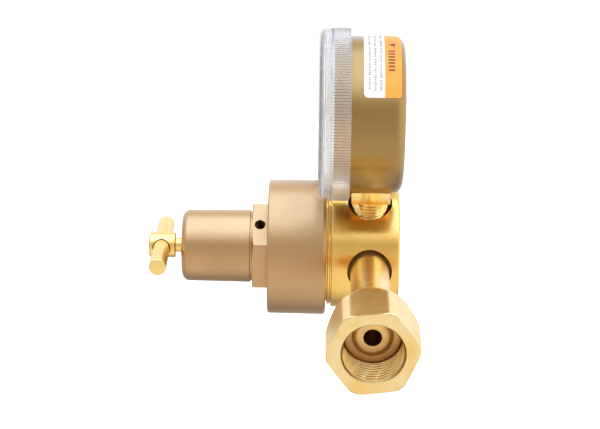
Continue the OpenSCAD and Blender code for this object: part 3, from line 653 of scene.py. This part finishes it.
def make_inlet():
    place = port_frame(INLET)
    mouth = NUT_FACE - NUT_MOUTH
    hole = STEM_R + STEM_GAP
    nut = turned("inlet_nut_body", [
        (hole, NUT_INSIDE), (hole, NUT_BACK, 0.4),
        (NUT_AF / 2 - 0.4, NUT_BACK, 0.5), (NUT_CORNER_R, NUT_BACK + NUT_BACK_BEVEL, 1.2),
        (NUT_CORNER_R, NUT_FACE - NUT_FRONT_BEVEL, 0.3), (NUT_FACE_R, NUT_FACE, 0.4),
        (NUT_MOUTH_R, NUT_FACE, 0.15), (NUT_MINOR_R, mouth), (NUT_MINOR_R, NUT_INSIDE)],
        place, nut_brass, 720, nut_shape,
        fine=[(NUT_BACK, NUT_BACK + 6, 0.2), (NUT_FACE - 15, NUT_FACE, 0.12)], closed=True)
    # Faces inside the nut's bore take a darker brass: painted shade.
    repainted(nut, place, bore_shade_brass,
              lambda radius, along, _: radius < NUT_MAJOR_R and along < mouth)
    # Darker brass on the thread roots: painted shade in the grooves.
    repainted(nut, place, root_shade_brass, lambda radius, along, _: (
        NUT_MINOR_R + 0.45 < radius < NUT_MAJOR_R + 0.1 and NUT_THREAD_LOW < along < mouth))
    stands_for(nut, "nut", "brass", "inlet_nut")
    stem = turned("inlet_stem", [
        (BORE_R, FILTER_TOP), (BORE_R, NOSE_TOP, 0.25), (NOSE_CROWN_R, NOSE_TOP - 0.05, 3),
        (NOSE_R, NOSE_TOP - 0.6, 0.4), (NOSE_R - 0.1, COLLAR_TOP - NOSE_STEP),
        (NOSE_R + NOSE_STEP_RISE, COLLAR_TOP - NOSE_STEP),
        (NOSE_R + NOSE_STEP_RISE, COLLAR_TOP, 0.15), (COLLAR_R, COLLAR_TOP, 0.5),
        (COLLAR_R, COLLAR_BASE, 0.3), (STEM_R, COLLAR_BASE, 0.3),
        (STEM_R, INLET_FLOOR + 0.4, 0.3), (FITTING_R, INLET_FLOOR),
        (FITTING_R, FITTING_FOOT, 0.5), (FILTER_R, FITTING_FOOT), (FILTER_R, FILTER_TOP)],
        place, stem_brass, 160, closed=True)
    # The stem's front, inside the nut, takes the same darker brass: painted shade.
    repainted(stem, place, bore_shade_brass, lambda radius, along, _: along > COLLAR_BASE)
    stands_for(stem, "root", "brass", "inlet_nipple")


make_inlet()

# ---------------------------------------------------------------- outlet and relief valve

OUTLET_END, OUTLET_THREAD_R, OUTLET_ROOT_R, OUTLET_PITCH = 52.0, 7.14, 6.35, 25.4 / 18
OUTLET_HEX, OUTLET_HEX_LOW, OUTLET_HEX_HIGH = 17.5, 24.5, 32.5
OUTLET_BORE_R, OUTLET_CONE_R, OUTLET_CONE_DEPTH = 3.0, 5.2, 3
RELIEF_END, RELIEF_HEX, RELIEF_HEX_LOW, RELIEF_HEX_HIGH = 41.0, 15.9, 23.5, 29.0
RELIEF_BARREL_R, RELIEF_BORE_R, RELIEF_SEAT, RELIEF_HOLE_R = 6.6, 4.6, 27.0, 1.6
CAP_T, CAP_SUNK, CAP_VENT_R, CAP_GAP = 2.4, 0.2, 1.8, 0.04
HEX_END_GAP = 0.01


def on_hexagon(along, low, high):
    return (along > low - HEX_END_GAP) & (along < high + HEX_END_GAP)


def outlet_shape(radius, along, angle):
    on_hex = on_hexagon(along, OUTLET_HEX_LOW, OUTLET_HEX_HIGH) & (radius > 7.6)
    rise = np.minimum(along - OUTLET_HEX_LOW, OUTLET_HEX_HIGH - along)
    flats = hexagon(smooth_min(radius, OUTLET_HEX / 2 - 0.2 + rise * 1.3, 0.3), angle,
                    OUTLET_HEX)
    cutting = between(along, OUTLET_HEX_HIGH + 0.8, OUTLET_END - 0.4, 0.8)
    grooves = radius - (OUTLET_THREAD_R - OUTLET_ROOT_R) * cutting * thread_depth(
        along, angle, OUTLET_PITCH)
    threaded = (radius > OUTLET_ROOT_R) & (along > OUTLET_HEX_HIGH + 0.2)
    return np.where(on_hex, flats, np.where(threaded, grooves, radius))


def make_outlet():
    corner = OUTLET_HEX / 2 + 1.6
    fitting = turned("outlet_body", [
        (OUTLET_BORE_R, FITTING_FOOT), (FITTING_R, FITTING_FOOT, 0.5),
        (FITTING_R, OUTLET_HEX_LOW), (corner, OUTLET_HEX_LOW), (corner, OUTLET_HEX_HIGH),
        (OUTLET_THREAD_R, OUTLET_HEX_HIGH), (OUTLET_THREAD_R, OUTLET_END, 0.9),
        (OUTLET_CONE_R, OUTLET_END, 0.2), (OUTLET_BORE_R, OUTLET_END - OUTLET_CONE_DEPTH)],
        port_frame(OUTLET), outlet_brass, 480, outlet_shape, closed=True,
        fine=[(OUTLET_HEX_LOW - HEX_END_GAP, OUTLET_HEX_HIGH + HEX_END_GAP, 0.2),
              (OUTLET_HEX_HIGH, OUTLET_END, 0.1)])
    stands_for(fitting, "root", "brass", "outlet_fitting")


def relief_shape(radius, along, angle):
    on_hex = on_hexagon(along, RELIEF_HEX_LOW, RELIEF_HEX_HIGH) & (radius > 7)
    rise = np.minimum(along - RELIEF_HEX_LOW, RELIEF_HEX_HIGH - along)
    flats = hexagon(smooth_min(radius, RELIEF_HEX / 2 - 0.1 + rise * 1.5, 0.25), angle,
                    RELIEF_HEX)
    return np.where(on_hex, flats, radius)


def make_relief():
    place = port_frame(RELIEF)
    corner = RELIEF_HEX / 2 + 1.2
    body = turned("relief_housing", [
        (RELIEF_HOLE_R, FITTING_FOOT), (FITTING_R, FITTING_FOOT, 0.5),
        (FITTING_R, RELIEF_HEX_LOW), (corner, RELIEF_HEX_LOW), (corner, RELIEF_HEX_HIGH),
        (RELIEF_BARREL_R, RELIEF_HEX_HIGH), (RELIEF_BARREL_R, RELIEF_END, 0.7),
        (RELIEF_BORE_R, RELIEF_END, 0.3), (RELIEF_BORE_R, RELIEF_SEAT),
        (RELIEF_HOLE_R, RELIEF_SEAT)], place, relief_brass, 360, relief_shape, closed=True,
        fine=[(RELIEF_HEX_LOW - HEX_END_GAP, RELIEF_HEX_HIGH + HEX_END_GAP, 0.2)])
    stands_for(body, "root", "brass", "relief_body")
    cap_r, cap_top = RELIEF_BORE_R - CAP_GAP, RELIEF_END - CAP_SUNK
    cap = turned("relief_vent_cap", [
        (CAP_VENT_R, RELIEF_END - CAP_T), (cap_r, RELIEF_END - CAP_T), (cap_r, cap_top, 0.3),
        (CAP_VENT_R, cap_top, 0.3)], place, turned_brass, 96, closed=True)
    stands_for(cap, "root", "brass", "relief_cap")


make_outlet()
make_relief()

# ---------------------------------------------------------------- gauges

CASE_R, CASE_FRONT, CASE_BACK, CASE_WALL, CASE_EDGE = 27.9, -14.2, 10.5, 0.7, 4.0
LENS_R, LENS_FRONT, LENS_REAR, LENS_BORE_R = 30.69, -19.5, -8.4, 28.0
LENS_T, LENS_STEP = 2.1, 0.35
KNURL_FRONT, RIBS, RIB_DEPTH, SHADED_GROOVE_SHARE = -15.4, 180, 0.3, 0.35
SOCKET_AF, SOCKET_BASE, SOCKET_BLOCK_TOP, SOCKET_TOP = 14.3, 27.2, 38, 45.5
FOOT_HALF_X, FOOT_HALF_Y = 4.5, 6
PIPE_R, PIPE_PITCH, PIPE_BORE_R, PIPE_DEPTH, PIPE_TAPER = 6.85, 25.4 / 18, 1.5, 0.75, 32
DIAL_R, DIAL_FRONT, DIAL_T, DIAL_HOLE_R = 26.6, -12.0, 0.6, 1.6
SWEEP, ZERO = 270.0, -135.0
NEEDLE_FRONT, NEEDLE_LEN, NEEDLE_TAIL, NEEDLE_T = -14.1, 21.0, 7.5, 0.5
PRINT_T = 0.02


def lens_ribs(radius, along, angle):
    band = between(along, KNURL_FRONT, LENS_REAR - 0.3, 0.25) * (radius > LENS_R - 0.6)
    groove = np.abs(np.sin(RIBS / 2 * angle)) ** 0.8
    return radius - RIB_DEPTH * band * (1 - groove)


def make_lens(side, place):
    rim = LENS_R - LENS_STEP
    inside = LENS_FRONT + LENS_T
    lens = turned(side + "_lens_cover", [
        (0, LENS_FRONT), (rim, LENS_FRONT, 1.7), (rim, KNURL_FRONT - 0.4),
        (LENS_R, KNURL_FRONT - 0.1), (LENS_R, LENS_REAR, 0.25), (LENS_BORE_R, LENS_REAR, 0.2),
        (LENS_BORE_R, CASE_FRONT - 0.3, 0.2), (LENS_BORE_R - 0.8, inside, 0.8), (0, inside)],
        place @ Z_TO_X, lens_plastic, RIBS * 8, lens_ribs,
        fine=[(KNURL_FRONT, LENS_REAR, 0.9)])
    # The ribs' groove faces take the darker plastic: painted shade lines.
    repainted(lens, place @ Z_TO_X, groove_shade_plastic, lambda radius, along, angle: (
        radius > LENS_R - 0.7 and KNURL_FRONT < along < LENS_REAR - 0.1
        and abs(math.sin(RIBS / 2 * angle)) < SHADED_GROOVE_SHARE))
    stands_for(lens, "root", "clear_plastic", side + "_lens")


def make_case(side, place):
    case = turned(side + "_case_shell", [
        (0, CASE_BACK), (CASE_R, CASE_BACK, CASE_EDGE), (CASE_R, CASE_FRONT, 0.2),
        (CASE_R - CASE_WALL, CASE_FRONT, 0.2),
        (CASE_R - CASE_WALL, CASE_BACK - CASE_WALL, CASE_EDGE - CASE_WALL),
        (0, CASE_BACK - CASE_WALL)], place @ Z_TO_X, case_brass, 256)
    half = SOCKET_AF / 2 + 0.1
    hole = prism("hole", rectangle(half, half), -CASE_R - 8, -CASE_R + 8, place, case_brass)
    stands_for(cut(case, hole), "root", "case_brass", side + "_case")


def pipe_thread(radius, along, angle):
    tapered = radius - (SOCKET_BASE - along) / PIPE_TAPER
    cutting = between(along, FITTING_FOOT - 0.5, SOCKET_BASE - 0.3, 0.7)
    depth = thread_depth(along, angle, PIPE_PITCH, 0.1, 0.1)
    return np.where(radius > 5, tapered - PIPE_DEPTH * cutting * depth, radius)


def make_socket(side, port):
    place = port_frame(port)
    stem_top = SOCKET_BASE + 0.5
    stem = turned("stem", [
        (PIPE_BORE_R, FITTING_FOOT), (PIPE_R, FITTING_FOOT, 0.5), (PIPE_R, stem_top),
        (PIPE_BORE_R, stem_top)], place, socket_brass, 160, pipe_thread,
        fine=[(FITTING_FOOT, SOCKET_BASE, 0.1)], closed=True)
    half = SOCKET_AF / 2
    block = prism("block", rectangle(half, half), SOCKET_BASE, SOCKET_BLOCK_TOP, place,
                  socket_brass, 0.35)
    foot = prism("foot", rectangle(FOOT_HALF_X, FOOT_HALF_Y), SOCKET_BLOCK_TOP - 0.1,
                 SOCKET_TOP, place, socket_brass, 0.2)
    socket = joined(side + "_socket_piece", [block, stem, foot])
    stands_for(socket, "root", "bright_brass", side + "_socket")


def dial_frame(side, height):
    """On the dial's face: local X to the reader's right, local Y up, local Z to the reader."""
    facing = Matrix(((0, 0, -1, 0), (-1, 0, 0, 0), (0, 1, 0, 0), (0, 0, 0, 1)))
    return gauge_frame(side) @ Matrix.Translation(
        Vector(((DIAL_FRONT - height) * MM, 0, 0))) @ facing


def polar(radius, share):
    """A point on the dial at a share of the scale's sweep."""
    angle = math.radians(ZERO + SWEEP * share)
    return Vector((radius * math.sin(angle), radius * math.cos(angle)))


def tick(side, share, inner, outer, width, material):
    a, b = polar(inner, share), polar(outer, share)
    across = (b - a).orthogonal().normalized() * width / 2
    outline = [tuple(a - across), tuple(b - across), tuple(b + across), tuple(a + across)]
    return prism("tick", outline, 0, 2 * PRINT_T, dial_frame(side, 0.0), material)


def number(side, text, share, radius, size, material):
    """Digits standing upright on the dial, centred at that point of the scale."""
    curve = bpy.data.curves.new("number", "FONT")
    curve.body = text
    curve.size = size * MM
    curve.align_x = "CENTER"
    curve.align_y = "CENTER"
    curve.extrude = PRINT_T * MM
    holder = bpy.data.objects.new("number", curve)
    bpy.context.scene.collection.objects.link(holder)
    bpy.context.view_layer.update()
    mesh = bpy.data.meshes.new_from_object(holder)
    bpy.data.objects.remove(holder)
    point = polar(radius, share) * MM
    mesh.transform(dial_frame(side, PRINT_T) @ Matrix.Translation((point.x, point.y, 0)))
    return shown("number", mesh, material)


# Numbers, ticks between two, inner numbers, and how much of the inner scale the sweep holds
SCALES = {
    "supply": (["0", "1000", "2000", "3000", "4000"], 10, ["0", "100", "200", "300"], 0.92),
    "delivery": (["0", "50", "100", "150", "200"], 10, ["0", "5", "10", "15"], 0.92),
}
TICK_OUTER, TICK_LONG, TICK_MIDDLE, TICK_SHORT, TICK_BOLD, TICK_THIN = (
    24.2, 20.6, 21.6, 22.6, 0.5, 0.22)
NUMBER_R, NUMBER_SIZE = 17.2, 3.6
INNER_PARTS, INNER_TICK, INNER_TICK_SHORT, INNER_TICK_LONG = 5, 12.6, 13.6, 14.0
INNER_NUMBER_R, INNER_NUMBER_SIZE = 10.3, 2.3


def make_dial(side, place):
    numbers, parts, inner_numbers, inner_share = SCALES[side]
    black = []
    steps = (len(numbers) - 1) * parts
    for k in range(steps + 1):
        long = k % parts == 0
        middle = k % (parts // 2) == 0
        inner = TICK_LONG if long else TICK_MIDDLE if middle else TICK_SHORT
        black.append(tick(side, k / steps, inner, TICK_OUTER, TICK_BOLD if long else TICK_THIN,
                          print_black))
    for k, text in enumerate(numbers):
        black.append(number(side, text, k / (len(numbers) - 1), NUMBER_R, NUMBER_SIZE,
                            print_black))
    stands_for(joined(side + "_dial_scale", black), "root", "black_enamel")
    red = []
    inner_steps = (len(inner_numbers) - 1) * INNER_PARTS
    for k in range(inner_steps + 1):
        share = k / inner_steps / inner_share
        if share <= 1:
            outer = INNER_TICK_SHORT if k % INNER_PARTS else INNER_TICK_LONG
            red.append(tick(side, share, INNER_TICK, outer, TICK_THIN, print_red))
    for k, text in enumerate(inner_numbers):
        share = k / (len(inner_numbers) - 1) / inner_share
        if share <= 1:
            red.append(number(side, text, share, INNER_NUMBER_R, INNER_NUMBER_SIZE, print_red))
    stands_for(joined(side + "_dial_inner_scale", red), "root", "black_enamel")
    disc = turned(side + "_dial_disc", [
        (DIAL_HOLE_R, DIAL_FRONT), (DIAL_R, DIAL_FRONT, 0.2), (DIAL_R, DIAL_FRONT + DIAL_T, 0.2),
        (DIAL_HOLE_R, DIAL_FRONT + DIAL_T)], place @ Z_TO_X, dial_white, 160, closed=True)
    stands_for(disc, "root", "white_enamel", side + "_dial")


def make_needle(side):
    turn = Matrix.Rotation(math.radians(-ZERO), 4, "Z")
    place = dial_frame(side, DIAL_FRONT - NEEDLE_FRONT - NEEDLE_T) @ turn
    blade = prism("blade", [
        (-1.5, -NEEDLE_TAIL), (1.5, -NEEDLE_TAIL), (1.0, -1.5), (0.85, 2), (0.22, NEEDLE_LEN),
        (-0.22, NEEDLE_LEN), (-0.85, 2), (-1.0, -1.5)], 0, NEEDLE_T, place, needle_black, 0.08)
    cap = turned("cap", [
        (0, -1), (1.5, -1), (1.5, -0.02), (2.4, 0), (2.4, 0.55, 0.15), (1.4, 0.9, 0.3), (0, 1.05)],
        place, needle_black, 64)
    stands_for(joined(side + "_needle", [blade, cap]), side + "_needle", "black_enamel",
               side + "_pointer")


for gauge_side, gauge_port in GAUGES.items():
    centre = gauge_frame(gauge_side)
    make_lens(gauge_side, centre)
    make_case(gauge_side, centre)
    make_socket(gauge_side, gauge_port)
    make_dial(gauge_side, centre)
    make_needle(gauge_side)

# ---------------------------------------------------------------- label on the near gauge

LABEL_FROM, LABEL_TO = 13.9, 105.0
LABEL_FRONT, LABEL_SPLIT, LABEL_REAR, LABEL_T = -4.2, 3.0, 8.9, 0.14
LABEL_CORNER, LABEL_GAP = 1.3, 0.01
MARK_COLUMNS, MARK_T = (-2.3, -0.3, 1.7), 0.02
BAR_FROM, BAR_TO, BAR_STEP, BAR_WIDTH = 34.5, 56, 3.1, 1.7
label_frame = Matrix.Translation(Vector(joints["supply_needle_turn"]["pos_m"]))


def case_point(x, angle, lift):
    """A point on the case's skin at axial place x and an angle above the near horizontal."""
    straight = CASE_BACK - CASE_EDGE
    if x <= straight:
        radius, along = CASE_R + lift, x
    else:
        bend = (x - straight) / CASE_EDGE
        radius = CASE_R - CASE_EDGE + (CASE_EDGE + lift) * math.cos(bend)
        along = straight + (CASE_EDGE + lift) * math.sin(bend)
    turn = math.radians(angle)
    return (along, -radius * math.cos(turn), radius * math.sin(turn))


def case_patch(name, x0, x1, from_angle, to_angle, lift, thick, material, corner=0.0, rows=64):
    """A thin closed patch that lies on the case, with rounded lower corners."""
    columns = max(2, math.ceil((x1 - x0) / 0.5))
    arc_mm = math.radians(1) * CASE_R
    verts, faces = [], []
    for level in (lift, lift + thick):
        for i in range(rows + 1):
            angle = from_angle + (to_angle - from_angle) * i / rows
            for j in range(columns + 1):
                x = x0 + (x1 - x0) * j / columns
                edge = max(0.0, corner - min(x - LABEL_FRONT, LABEL_REAR - x))
                inset = corner - math.sqrt(max(0.0, corner ** 2 - edge ** 2))
                lowest = from_angle + inset / arc_mm
                verts.append(case_point(x, max(angle, lowest), level))
    size = (rows + 1) * (columns + 1)
    for i in range(rows):
        for j in range(columns):
            a = i * (columns + 1) + j
            b = a + columns + 1
            faces.append((a, a + 1, b + 1, b))
            faces.append((size + a, size + b, size + b + 1, size + a + 1))
    rim = (list(range(columns + 1))
           + [i * (columns + 1) + columns for i in range(1, rows + 1)]
           + [rows * (columns + 1) + j for j in range(columns - 1, -1, -1)]
           + [i * (columns + 1) for i in range(rows - 1, 0, -1)])
    for k, a in enumerate(rim):
        b = rim[(k + 1) % len(rim)]
        faces.append((a, b, size + b, size + a))
    return finished(name, verts, faces, label_frame, material)


def make_label():
    white = case_patch("label_white_half", LABEL_FRONT, LABEL_SPLIT, LABEL_FROM, LABEL_TO,
                       LABEL_GAP, LABEL_T, label_white, LABEL_CORNER)
    stands_for(white, "root", "label", "case_label")
    orange = case_patch("label_orange_half", LABEL_SPLIT, LABEL_REAR, LABEL_FROM, LABEL_TO,
                        LABEL_GAP, LABEL_T, label_orange, LABEL_CORNER)
    stands_for(orange, "root", "label")
    marks = []
    random = np.random.default_rng(7)
    for x in MARK_COLUMNS:
        angle = LABEL_FROM + 4 + random.uniform(0, 3)
        while angle < LABEL_TO - 3:
            for _ in range(random.integers(3, 9)):
                length, reach = random.uniform(0.6, 1.2), random.uniform(0.3, 0.46)
                marks.append(case_patch("mark", x - reach, x + reach, angle, angle + length,
                                        LABEL_T + LABEL_GAP, MARK_T, print_grey, rows=1))
                angle += length + 0.55
            angle += 1.2
    stands_for(joined("label_marks", marks), "root", "label")
    signs = [case_patch("bar", 4.2, 6.5, angle, angle + BAR_WIDTH, LABEL_T + LABEL_GAP, MARK_T,
                        print_brown, rows=1) for angle in np.arange(BAR_FROM, BAR_TO, BAR_STEP)]
    corners = [(6.6, 59.8), (6.6, 65.2), (4.3, 62.5)]
    verts = [case_point(x, angle, lift) for lift in (LABEL_T, LABEL_T + 0.05)
             for x, angle in corners]
    signs.append(finished("triangle", verts, [
        (0, 2, 1), (3, 4, 5), (0, 1, 4, 3), (1, 2, 5, 4), (2, 0, 3, 5)], label_frame,
        print_brown))
    stands_for(joined("label_signs", signs), "root", "label")


make_label()

# ---------------------------------------------------------------- stage, light and camera

# Metres, with the lens in millimetres
FLOOR_DROP, FLOOR_HALF, FLOOR_GLOW = 0.11, 6.0, 0.35
CAMERA_FAR, CAMERA_LENS = 0.756, 120.65
CAMERA_AZIMUTH, CAMERA_ELEVATION, CAMERA_ROLL = 0.377, 4.56, 0.872
AIM_X, AIM_UP = -0.02571, 0.0125
# The room's light, as colours at angles from the camera's side up over the top, each below
# ROOM_PEAK, and at shares of the way from the left wall to the right one
ROOM_PEAK, BACKDROP = 3.6, 1.05
ROOM = [
    (-180, (0.95, 0.95, 0.95)), (-160, (0.62, 0.62, 0.62)), (-125, (0.36, 0.36, 0.36)),
    (-105, (0.66, 0.66, 0.66)), (-82, (1.04, 1.04, 1.04)), (-40, (1.0, 0.98, 0.96)),
    (-24, (0.83, 0.81, 0.79)), (-9, (0.8, 0.77, 0.74)), (8, (0.62, 0.59, 0.56)),
    (20, (0.72, 0.72, 0.72)), (34, (1.3, 1.5, 1.75)), (50, (1.8, 2.3, 3.2)),
    (104, (1.8, 2.3, 3.2)), (119, (0.9, 0.9, 0.8)), (150, (1.15, 1.25, 1.45)),
    (180, (0.95, 0.95, 0.95)),
]
WALLS = [(-1, (0.75, 0.75, 0.75)), (0, (0.8, 0.8, 0.8)), (1, (1.3, 1.3, 1.3))]
WALLS_FROM, WALLS_FULL = 0.45, 0.85


def make_floor():
    z = cad_box[0][2] - FLOOR_DROP
    mesh = bpy.data.meshes.new("floor")
    mesh.from_pydata([(x, y, z) for x, y in rectangle(FLOOR_HALF, FLOOR_HALF)], [],
                     [(0, 1, 2, 3)])
    floor = bpy.data.objects.new("floor", mesh)
    bpy.context.scene.collection.objects.link(floor)
    made = Shader("floor_white")
    speck = made.noise(made.scaled((3, 3, 3)))
    made.feed(Base_Color=made.mixed(made.spread(speck, 0, 1), (0.97, 0.97, 0.97),
                                    (0.96, 0.96, 0.96)))
    made.set(Roughness=1.0, Specular_IOR_Level=0.0)
    made.surface.inputs["Emission Color"].default_value = (1, 1, 1, 1)
    made.surface.inputs["Emission Strength"].default_value = FLOOR_GLOW
    floor.data.materials.append(made.material)
    floor.visible_glossy = False


def make_world():
    """A studio room as directions. Glossy rays see its colours, other rays a neutral one."""
    world = bpy.data.worlds.new("studio")
    bpy.context.scene.world = world
    world.use_nodes = True
    nodes, links = world.node_tree.nodes, world.node_tree.links
    nodes.clear()

    def math_node(operation, *values):
        made = nodes.new("ShaderNodeMath")
        made.operation = operation
        for socket, value in zip(made.inputs, values):
            if isinstance(value, (int, float)):
                socket.default_value = value
            else:
                links.new(value, socket)
        return made.outputs[0]

    def colour_ramp(value, stops):
        made = nodes.new("ShaderNodeValToRGB")
        while len(made.color_ramp.elements) < len(stops):
            made.color_ramp.elements.new(0.5)
        for element, (at, colour) in zip(made.color_ramp.elements, stops):
            element.position = at
            element.color = (*colour, 1)
        links.new(value, made.inputs["Fac"])
        return made.outputs["Color"]

    direction = nodes.new("ShaderNodeTexCoord")
    split = nodes.new("ShaderNodeSeparateXYZ")
    links.new(direction.outputs["Generated"], split.inputs[0])
    x, y, z = split.outputs
    turn = math_node("DIVIDE", math_node("ARCTAN2", z, math_node("MULTIPLY", y, -1)), TURN)
    turn = math_node("ADD", turn, 0.5)
    around = colour_ramp(turn, [
        (0.5 + degrees / 360, tuple(c / ROOM_PEAK for c in colour)) for degrees, colour in ROOM])
    neutral = colour_ramp(turn, [
        (0.5 + degrees / 360, (min(colour) / ROOM_PEAK,) * 3) for degrees, colour in ROOM])
    sideways = colour_ramp(math_node("MULTIPLY_ADD", x, 0.5, 0.5), [
        (0.5 + 0.5 * share, tuple(c / ROOM_PEAK for c in colour)) for share, colour in WALLS])
    ray = nodes.new("ShaderNodeLightPath")
    tint = nodes.new("ShaderNodeMix")
    tint.data_type = "RGBA"
    links.new(ray.outputs["Is Glossy Ray"], tint.inputs["Factor"])
    links.new(neutral, tint.inputs["A"])
    links.new(around, tint.inputs["B"])
    mix = nodes.new("ShaderNodeMix")
    mix.data_type = "RGBA"
    to_side = nodes.new("ShaderNodeMapRange")
    to_side.interpolation_type = "SMOOTHSTEP"
    to_side.inputs["From Min"].default_value = WALLS_FROM
    to_side.inputs["From Max"].default_value = WALLS_FULL
    links.new(math_node("ABSOLUTE", x), to_side.inputs["Value"])
    links.new(to_side.outputs["Result"], mix.inputs["Factor"])
    links.new(tint.outputs["Result"], mix.inputs["A"])
    links.new(sideways, mix.inputs["B"])
    room = nodes.new("ShaderNodeBackground")
    links.new(mix.outputs["Result"], room.inputs["Color"])
    room.inputs["Strength"].default_value = ROOM_PEAK
    white = nodes.new("ShaderNodeBackground")
    white.inputs["Color"].default_value = (1, 1, 1, 1)
    white.inputs["Strength"].default_value = BACKDROP
    either = nodes.new("ShaderNodeMixShader")
    links.new(ray.outputs["Is Camera Ray"], either.inputs["Fac"])
    links.new(room.outputs[0], either.inputs[1])
    links.new(white.outputs[0], either.inputs[2])
    out = nodes.new("ShaderNodeOutputWorld")
    links.new(either.outputs[0], out.inputs["Surface"])


def make_camera():
    azimuth, elevation = math.radians(CAMERA_AZIMUTH), math.radians(CAMERA_ELEVATION)
    back = Vector((math.sin(azimuth) * math.cos(elevation),
                   -math.cos(azimuth) * math.cos(elevation), math.sin(elevation)))
    facing = (-back).to_track_quat("-Z", "Y") @ Matrix.Rotation(
        math.radians(CAMERA_ROLL), 3, "Z").to_quaternion()
    up = facing @ Vector((0, 1, 0))
    right = facing @ Vector((1, 0, 0))
    data = bpy.data.cameras.new("camera")
    data.sensor_width = 36
    data.lens = CAMERA_LENS
    data.clip_start, data.clip_end = 0.05, 20
    camera = bpy.data.objects.new("camera", data)
    camera.rotation_mode = "QUATERNION"
    camera.rotation_quaternion = facing
    camera.location = body_point + right * AIM_X + up * AIM_UP + back * CAMERA_FAR
    bpy.context.scene.collection.objects.link(camera)
    bpy.context.scene.camera = camera


make_floor()
make_world()
make_camera()
bpy.context.scene.view_settings.view_transform = "Standard"
